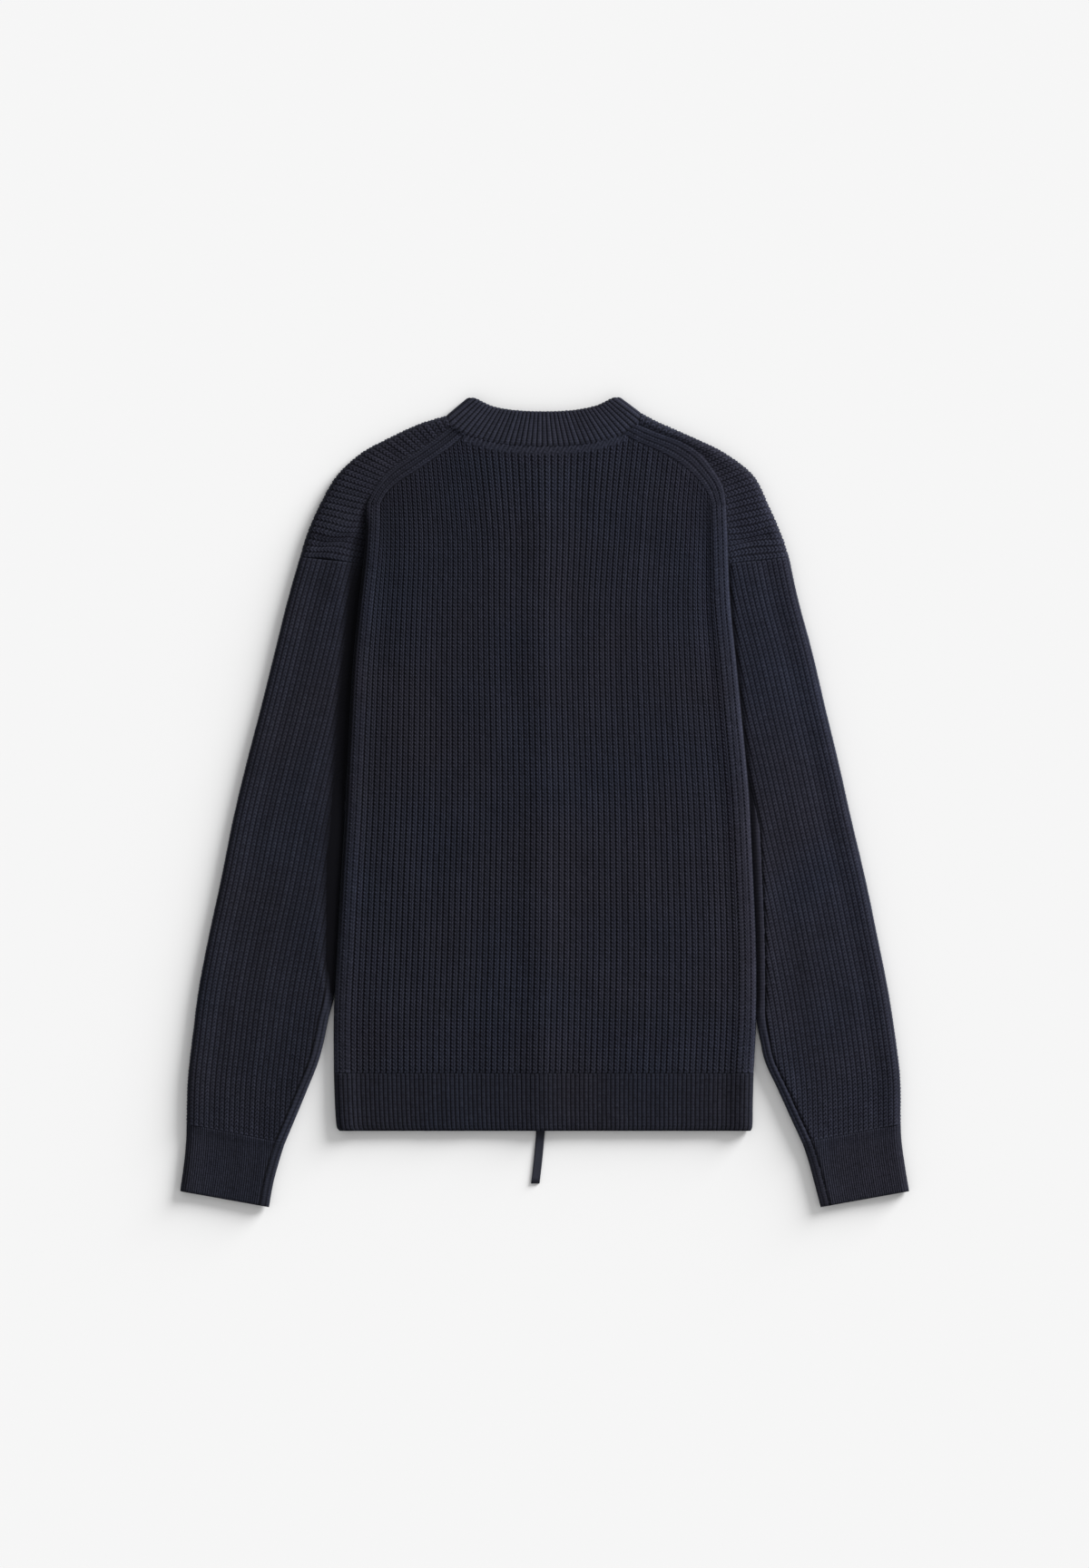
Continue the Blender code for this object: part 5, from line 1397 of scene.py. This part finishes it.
def build_slider(slider, material):
    """Two plates on a post, with turned-in flanges and a bar for the pull."""
    piece = Cloth(slider.name + "_body")
    middle = zip_line(slider.low)
    low, high = slider.low, slider.low + SLIDER_LONG
    ends = (SLIDER_HALF, SLIDER_NECK) if slider.wide_end == 0 else (SLIDER_NECK, SLIDER_HALF)
    turn = np.linspace(0, math.pi / 2, ROUND_STEPS)
    outline = []
    for x_sign, y, y_sign, half in ((1, low, -1, ends[0]), (1, high, 1, ends[1]),
                                    (-1, high, 1, ends[1]), (-1, low, -1, ends[0])):
        corner = joined(middle + x_sign * (half - SLIDER_ROUND * (1 - np.cos(turn))),
                        y - y_sign * SLIDER_ROUND * (1 - np.sin(turn)))
        outline += list(corner[::x_sign * y_sign])
    for plate in (PLATE_LOW, PLATE_HIGH):
        prism(piece, outline, plain_levels(plate, plate + PLATE))
    for side, _ in SIDES:
        xs = [middle + side * (half - inset) for half in ends for inset in (FLANGE, CUT)]
        ys = (low + SLIDER_ROUND, high - SLIDER_ROUND)
        flange = [(xs[0], ys[0]), (xs[1], ys[0]), (xs[3], ys[1]), (xs[2], ys[1])]
        prism(piece, flange, plain_levels(PLATE_LOW + PLATE - CUT, PLATE_LOW + PLATE + FLANGE_HIGH))
        prism(piece, flange, plain_levels(PLATE_HIGH - FLANGE_HIGH, PLATE_HIGH + CUT))
        arm = rectangle(middle + side * (SLIDER_HALF - ARM), middle + side * SLIDER_HALF,
                        low - BAR_OUT, low + ARM_IN)
        prism(piece, arm, plain_levels(BAR_LOW, PLATE_LOW + PLATE / 2))
    post = low + POST_INSET if slider.wide_end == 0 else high - POST_INSET - POST_LONG
    diamond = np.array(POST) * (POST_HALF, POST_LONG) + (middle, post)
    prism(piece, diamond, [(PLATE_LOW + PLATE / 2, 0.0), (PLATE_HIGH + PLATE / 2, 0.0)])
    turn = np.linspace(0, 2 * math.pi, BAR_SIDES + 1)[:-1]
    radius = BAR_THICK / 2
    loft(piece, np.stack([joined(middle + x, low - BAR_OUT + radius * (1 + np.cos(turn)),
                                 BAR_LOW + radius * (1 + np.sin(turn)))
                          for x in (CUT - SLIDER_HALF, SLIDER_HALF - CUT)]))
    return build_metal(piece, material)


def pull_bend(slider):
    """Where a pull's tape turns round the slider's bar."""
    return slider.low - BAR_OUT + BAR_THICK + SEAM


def pull_path(bend):
    """The middle line, in (y, z), of the tape that is folded round the slider's bar."""
    end = bend + PULL_THICK - PULL_LONG
    flat = bend - PULL_RISE
    half = PULL_THICK / 2
    below, above = BAR_LOW - SEAM - half, BAR_LOW + BAR_THICK + SEAM + half
    radius = (above - below) / 2
    turn = np.linspace(-math.pi / 2, math.pi / 2, BEND_POINTS)
    loop = joined(bend + radius * np.cos(turn), (above + below) / 2 + radius * np.sin(turn))
    second = PULL_THICK * 1.5 + PULL_SLIT
    back = [(flat + gone, lerp(second, above, share) + more) for gone, share, more in PULL_EASE]
    return np.array([(end, below), (lerp(end, bend, 0.5), below), *loop,
                     (bend - PULL_LOOP, above), *back,
                     (lerp(end, flat, 0.5), second), (end, second)])


def build_pull(name, slider, material):
    """Folded tape with rounded edges and a line of stitches along each side."""
    piece = Cloth(name)
    bend, middle = pull_bend(slider), zip_line(slider.low)
    line = rounded(pull_path(bend), PULL_STEPS)
    square = square_to(unit(np.gradient(line, axis=0)))
    half_ring = np.linspace(-1, 1, PULL_POINTS)
    u = np.concatenate([half_ring, half_ring[-2:0:-1]])
    face = np.where(np.arange(len(u)) < PULL_POINTS, 1, -1)
    thick = PULL_THICK / 2 * (1 - np.abs(u) ** PULL_SQUARE) ** 0.5 * face

    def lean(y):
        share = np.clip((bend - y) / PULL_LONG, 0, 1)
        return middle + PULL_LEAN[slider.name] * lerp(share, share ** 2, 1 - PULL_KNEE)

    y, z = [line[:, None, axis] + square[:, None, axis] * thick for axis in (0, 1)]
    knit = joined(PULL_HALF * u / WEAVE, gone_along(line)[:, None] / WEAVE)
    loft(piece, joined(lean(y) + PULL_HALF * u, y, z), knit)
    end = line[0, 0]
    top = line[-1, 1] + PULL_THICK / 2
    levels = [(top + share * STITCH_PROUD, inset) for share, inset in STITCH_RINGS]
    for number in range(int((bend - PULL_RISE - end - STITCH_CLEAR) / STITCH_STEP)):
        start = end + STITCH_START + number * STITCH_STEP
        for side, _ in SIDES:
            x = lean(start) + side * (PULL_HALF - STITCH_IN)
            prism(piece, rectangle(x - STITCH_HALF, x + STITCH_HALF, start, start + STITCH_LONG),
                  levels)
    return piece.build([material])


# ---------------------------------------------------------------- materials

YARN = (0.0255, 0.0288, 0.0445, 1.0)
YARN_WARM = (0.0288, 0.0286, 0.0402, 1.0)
# the colour of painted shade that low lift gives to gaps between stitches, to folds and to faded
# edges
HOLLOW_PAINTED_SHADE = (0.0018, 0.0018, 0.0030, 1.0)
CUFF_PAINTED_SHADE, HEM_PAINTED_SHADE = 0.72, 0.63    # painted shade: the cuffs and hem are the same yarn, made darker
PLIES = 3.0                   # plies of yarn that show in one course
PLY_LEAN = 1.4                # how much the plies lean across a leg
YARN_SHINE = {"Sheen Weight": 0.05, "Sheen Roughness": 0.45,
              "Sheen Tint": (0.55, 0.62, 0.85, 1.0), "Specular IOR Level": 0.08}
TAPE_YARN = (0.0200, 0.0215, 0.0310, 1.0)
METAL = (0.055, 0.058, 0.066, 1.0)
FLOOR_ALBEDO = 0.86
YARN_ROUGH, TAPE_ROUGH, METAL_ROUGH, FLOOR_ROUGH = 0.92, 0.8, 0.36, 1.0

# Scales of the noises, and the shades that they give
CORE = (0.3, 0.7)             # where most of a noise's values lie
CLOUD, CLOUD_CORE = 7.0, (0.35, 0.65)
MOTTLE, MOTTLE_SHADES = 34.0, (0.92, 1.08)
SPECK, SPECK_SHADES = 420.0, (-0.14, 0.14)
FUZZ, FUZZ_SHADES = 1500.0, (-0.15, 0.15)
THREAD, THREAD_SHADES = 1800.0, (-0.12, 0.12)
GRAIN, GRAIN_DETAIL = 900.0, 3.0

# Shades of the stitches and threads, from low to high
PAINTED_SHADE_LIFT = (0.05, 0.95)    # the lift at which the painted shade of a gap is darkest, and the yarn full
PLY_SHARE = (0.45, 1.0)
OVER_SHARE = (0.35, 1.0)
OVER_SHADES = (0.55, 1.15)

# Bumps: depth in metres, and strength
PLY_BUMP, STITCH_BUMP, FUZZ_BUMP = (0.00022, 0.6), (0.0011, 0.9), (0.00015, 0.5)
THREAD_BUMP, GRAIN_BUMP = (0.00012, 0.8), (0.00004, 0.4)


class Graph:
    """Shorthand for a material's nodes."""

    def __init__(self, name, colour, roughness, **constants):
        self.material = bpy.data.materials.new(name)
        self.material.use_nodes = True
        self.nodes = self.material.node_tree.nodes
        self.links = self.material.node_tree.links
        self.shader = self.nodes["Principled BSDF"]
        for key, value in {"Base Color": colour, "Roughness": roughness, **constants}.items():
            self.shader.inputs[key].default_value = value

    def put(self, socket, value):
        if isinstance(value, bpy.types.NodeSocket):
            self.links.new(value, socket)
        else:
            socket.default_value = value

    def node(self, kind, inputs=None, **settings):
        node = self.nodes.new(kind)
        for key, value in settings.items():
            setattr(node, key, value)
        for key, value in (inputs or {}).items():
            self.put(node.inputs[key], value)
        return node

    def math(self, operation, *values):
        return self.node("ShaderNodeMath", dict(enumerate(values)), operation=operation).outputs[0]

    def times(self, first, second):
        return self.math("MULTIPLY", first, second)

    def plus(self, first, second):
        return self.math("ADD", first, second)

    def wave(self, value):
        return self.math("SINE", self.times(value, 2 * math.pi))

    def stitch_place(self):
        """Knit coordinates: wales or threads across in X, courses along in Y."""
        place = self.node("ShaderNodeUVMap", uv_map="knit").outputs["UV"]
        return self.node("ShaderNodeSeparateXYZ", {"Vector": place}).outputs

    def noise(self, scale, detail=2.0):
        where = self.node("ShaderNodeTexCoord").outputs["Object"]
        node = self.node("ShaderNodeTexNoise", {"Vector": where, "Scale": scale, "Detail": detail})
        return node.outputs["Fac"]

    def remap(self, value, low, high, to_low=0.0, to_high=1.0):
        node = self.node("ShaderNodeMapRange", {"Value": value, "From Min": low, "From Max": high,
                                                "To Min": to_low, "To Max": to_high})
        return node.outputs["Result"]

    def blend(self, share, first, second, kind="MIX"):
        node = self.node("ShaderNodeMix", data_type="RGBA", blend_type=kind)
        for key, value in (("Factor", share), ("A", first), ("B", second)):
            self.put(node.inputs[key], value)
        return node.outputs["Result"]

    def shaded(self, colour, shade):
        grey = self.node("ShaderNodeCombineXYZ", {"X": shade, "Y": shade, "Z": shade})
        return self.blend(1.0, colour, grey.outputs["Vector"], "MULTIPLY")

    def bump(self, height, distance, strength, normal=None):
        inputs = {"Height": height, "Distance": distance, "Strength": strength}
        if normal is not None:
            inputs["Normal"] = normal
        return self.node("ShaderNodeBump", inputs).outputs["Normal"]

    def done(self, normal, colour=None):
        self.put(self.shader.inputs["Normal"], normal)
        if colour is not None:
            self.put(self.shader.inputs["Base Color"], colour)
        return self.material


def knit_material(name, drawn=False, painted_tone=1.0):
    """Dark yarn, darkened as a whole by painted shade where its tone is below 1.  drawn adds the
    stitches as bump, for the flat underside.
    """
    graph = Graph(name, YARN, YARN_ROUGH, **YARN_SHINE)
    lift = graph.node("ShaderNodeAttribute", attribute_name="lift").outputs["Fac"]
    place = graph.stitch_place()
    leg = graph.math("ABSOLUTE", graph.math("SUBTRACT", graph.math("FRACT", place["X"]), 0.5))
    course = graph.plus(place["Y"], graph.times(leg, PLY_LEAN))
    if drawn:
        lift = graph.times(lift, graph.remap(graph.wave(course), -1.0, 1.0, *PLY_SHARE))
    fuzz = graph.noise(FUZZ)
    yarn = graph.blend(graph.remap(graph.noise(CLOUD), *CLOUD_CORE), YARN, YARN_WARM)
    # a tone below 1 is painted shade, carried by the mottle
    mottled = [painted_tone * shade for shade in MOTTLE_SHADES]
    shade = graph.plus(graph.remap(graph.noise(MOTTLE), *CORE, *mottled),
                       graph.remap(graph.noise(SPECK), *CORE, *SPECK_SHADES))
    shade = graph.plus(shade, graph.remap(fuzz, *CORE, *FUZZ_SHADES))
    # painted shade: where the lift is low the yarn darkens towards the hollow's colour
    colour = graph.blend(graph.remap(lift, *PAINTED_SHADE_LIFT), HOLLOW_PAINTED_SHADE, graph.shaded(yarn, shade))
    normal = graph.bump(graph.wave(graph.times(course, PLIES)), *PLY_BUMP)
    if drawn:
        normal = graph.bump(lift, *STITCH_BUMP, normal)
    return graph.done(graph.bump(fuzz, *FUZZ_BUMP, normal), colour)


def knit_pair(name, painted_tone=1.0):
    """The material of a knit, and the one of its flat underside."""
    return [knit_material(name, painted_tone=painted_tone), knit_material(name + "_under", True, painted_tone)]


def woven_material(name):
    """Closely woven narrow tape."""
    graph = Graph(name, TAPE_YARN, TAPE_ROUGH, **{"Specular IOR Level": 0.2})
    place = graph.stitch_place()
    warp = graph.math("SINE", graph.times(graph.math("FRACT", place["X"]), math.pi))
    step = graph.plus(place["Y"], graph.times(graph.math("FLOOR", place["X"]), 0.5))
    over = graph.times(warp, graph.remap(graph.wave(step), -1.0, 1.0, *OVER_SHARE))
    shade = graph.plus(graph.remap(over, 0.0, 1.0, *OVER_SHADES),
                       graph.remap(graph.noise(THREAD), *CORE, *THREAD_SHADES))
    return graph.done(graph.bump(over, *THREAD_BUMP), graph.shaded(TAPE_YARN, shade))


def metal_material(name):
    """Blackened metal of the teeth and sliders."""
    graph = Graph(name, METAL, METAL_ROUGH, Metallic=0.9)
    return graph.done(graph.bump(graph.noise(GRAIN, GRAIN_DETAIL), *GRAIN_BUMP))


# ---------------------------------------------------------------- stage and camera

FLOOR_HALF, FLOOR_DROP = 60.0, 0.0002    # in metres, as the other lengths from here on
FAR = 50.0
WHITE = (1.0, 1.0, 1.0, 1.0)
WORLD_STRENGTH = 0.55
SUN_STRENGTH = 5.46
SUN_ELEVATION = 17.5
SUN_AZIMUTH = 42.0            # from +X towards +Y
SUN_SPREAD = 32.0
PANEL_SIZE = (0.5, 0.9)
PANEL_POWER = 11.0
PANEL_COLOUR = (0.92, 0.94, 1.10)
PANEL_PLACE = (0.95, 0.30, 0.42)
PANEL_AIM = (0.25, 0.05, 0.0)


def lamp(name, kind, towards, **settings):
    """A light that shines from the direction towards, down to the garment."""
    light = bpy.data.lights.new(name, kind)
    for key, value in settings.items():
        setattr(light, key, value)
    obj = placed(bpy.data.objects.new(name, light))
    obj.rotation_euler = towards.to_track_quat("Z", "Y").to_euler()
    return obj


def make_stage(garment):
    mesh = bpy.data.meshes.new("floor")
    corners = rectangle(-FLOOR_HALF, FLOOR_HALF, -FLOOR_HALF, FLOOR_HALF)
    mesh.from_pydata([(x, y, 0) for x, y in corners], [], [(0, 1, 2, 3)])
    white = (FLOOR_ALBEDO,) * 3 + (1.0,)
    paper = Graph("paper_white", white, FLOOR_ROUGH, **{"Specular IOR Level": 0.0})
    mesh.materials.append(paper.material)
    floor = placed(bpy.data.objects.new("floor", mesh))
    floor.location.z = -FLOOR_DROP

    world = bpy.data.worlds.new("studio")
    world.use_nodes = True
    sky = world.node_tree.nodes["Background"]
    sky.inputs["Color"].default_value = WHITE
    sky.inputs["Strength"].default_value = WORLD_STRENGTH
    bpy.context.scene.world = world

    turn, rise = math.radians(SUN_AZIMUTH), math.radians(SUN_ELEVATION)
    towards = Vector((math.cos(turn) * math.cos(rise), math.sin(turn) * math.cos(rise),
                      math.sin(rise)))
    lamp("window", "SUN", towards, energy=SUN_STRENGTH, angle=math.radians(SUN_SPREAD))
    panel = lamp("panel", "AREA", Vector(PANEL_PLACE) - Vector(PANEL_AIM), shape="RECTANGLE",
                 size=PANEL_SIZE[0], size_y=PANEL_SIZE[1], energy=PANEL_POWER,
                 color=PANEL_COLOUR)
    panel.location = PANEL_PLACE
    lit = bpy.data.collections.new("lit_by_panel")
    for obj in garment:
        lit.objects.link(obj)
    panel.light_linking.receiver_collection = lit

    view = bpy.context.scene.view_settings
    view.view_transform, view.look = "Standard", "None"
    view.exposure, view.gamma = 0.0, 1.0


def make_camera():
    lens = bpy.data.cameras.new("camera")
    lens.type = "PERSP"
    lens.sensor_fit = "VERTICAL"
    lens.sensor_height = SENSOR
    lens.lens = SENSOR * CAMERA_HEIGHT / PHOTO_TALL
    lens.clip_end = FAR
    camera = placed(bpy.data.objects.new("camera", lens))
    camera.location = (PHOTO_MIDDLE[0] + SHIFT[0] * MM, PHOTO_MIDDLE[1] + SHIFT[1] * MM,
                       CAMERA_HEIGHT)
    bpy.context.scene.camera = camera


# ---------------------------------------------------------------- the garment

def fasten(obj, node):
    """Puts a piece on the frame in place of its node."""
    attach(obj, "root")
    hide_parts(node)
    return obj


def wear(obj, node):
    """Puts cloth on the frame in place of its node."""
    fasten(obj, node)
    return obj


def main():
    make_camera()
    knit = knit_pair("yarn_knit")
    cuff = knit_pair("yarn_cuff", CUFF_PAINTED_SHADE)
    hem = knit_pair("yarn_hem", HEM_PAINTED_SHADE)
    garment = [wear(build_back(knit[:1]), "back_panel")]
    for side, name in SIDES:
        front = build_front(f"knit_{name}_front", side, knit)
        sleeve = build_tube(f"knit_{name}_sleeve", Ladder(side, SLEEVE_ARMHOLE, SLEEVE_FREE),
                            SLEEVE, SLEEVE_SEED, knit)
        band = build_tube(f"rib_{name}_cuff", Ladder(side, [], CUFF_ROWS), CUFF, CUFF_SEED, cuff)
        foot = build_hem_front(f"rib_{name}_hem", side, hem)
        garment += [wear(front, f"{name}_front"),
                    wear(sleeve, f"{name}_sleeve"),
                    wear(band, f"{name}_cuff"),
                    wear(foot, f"hem_{name}_front")]
    garment.append(wear(build_hem_back(hem[:1]), "hem_back"))
    collar = build_collar([knit_material("yarn_collar")])
    garment.append(wear(collar, "collar"))
    woven, metal = woven_material("zip_tape_woven"), metal_material("zip_metal_dark")
    for side, name in SIDES:
        tape = build_tape(f"zip_{name}_tape", side, woven)
        garment.append(wear(tape, f"zip_tape_{name}"))
    garment.append(fasten(build_chain(metal), "zip_chain"))
    for slider in SLIDERS:
        garment.append(fasten(build_slider(slider, metal), slider.name))
        name = slider.name.replace("slider", "pull")
        garment.append(fasten(build_pull(name + "_tape", slider, woven), name))
    make_stage(garment)
    bpy.context.view_layer.update()


main()
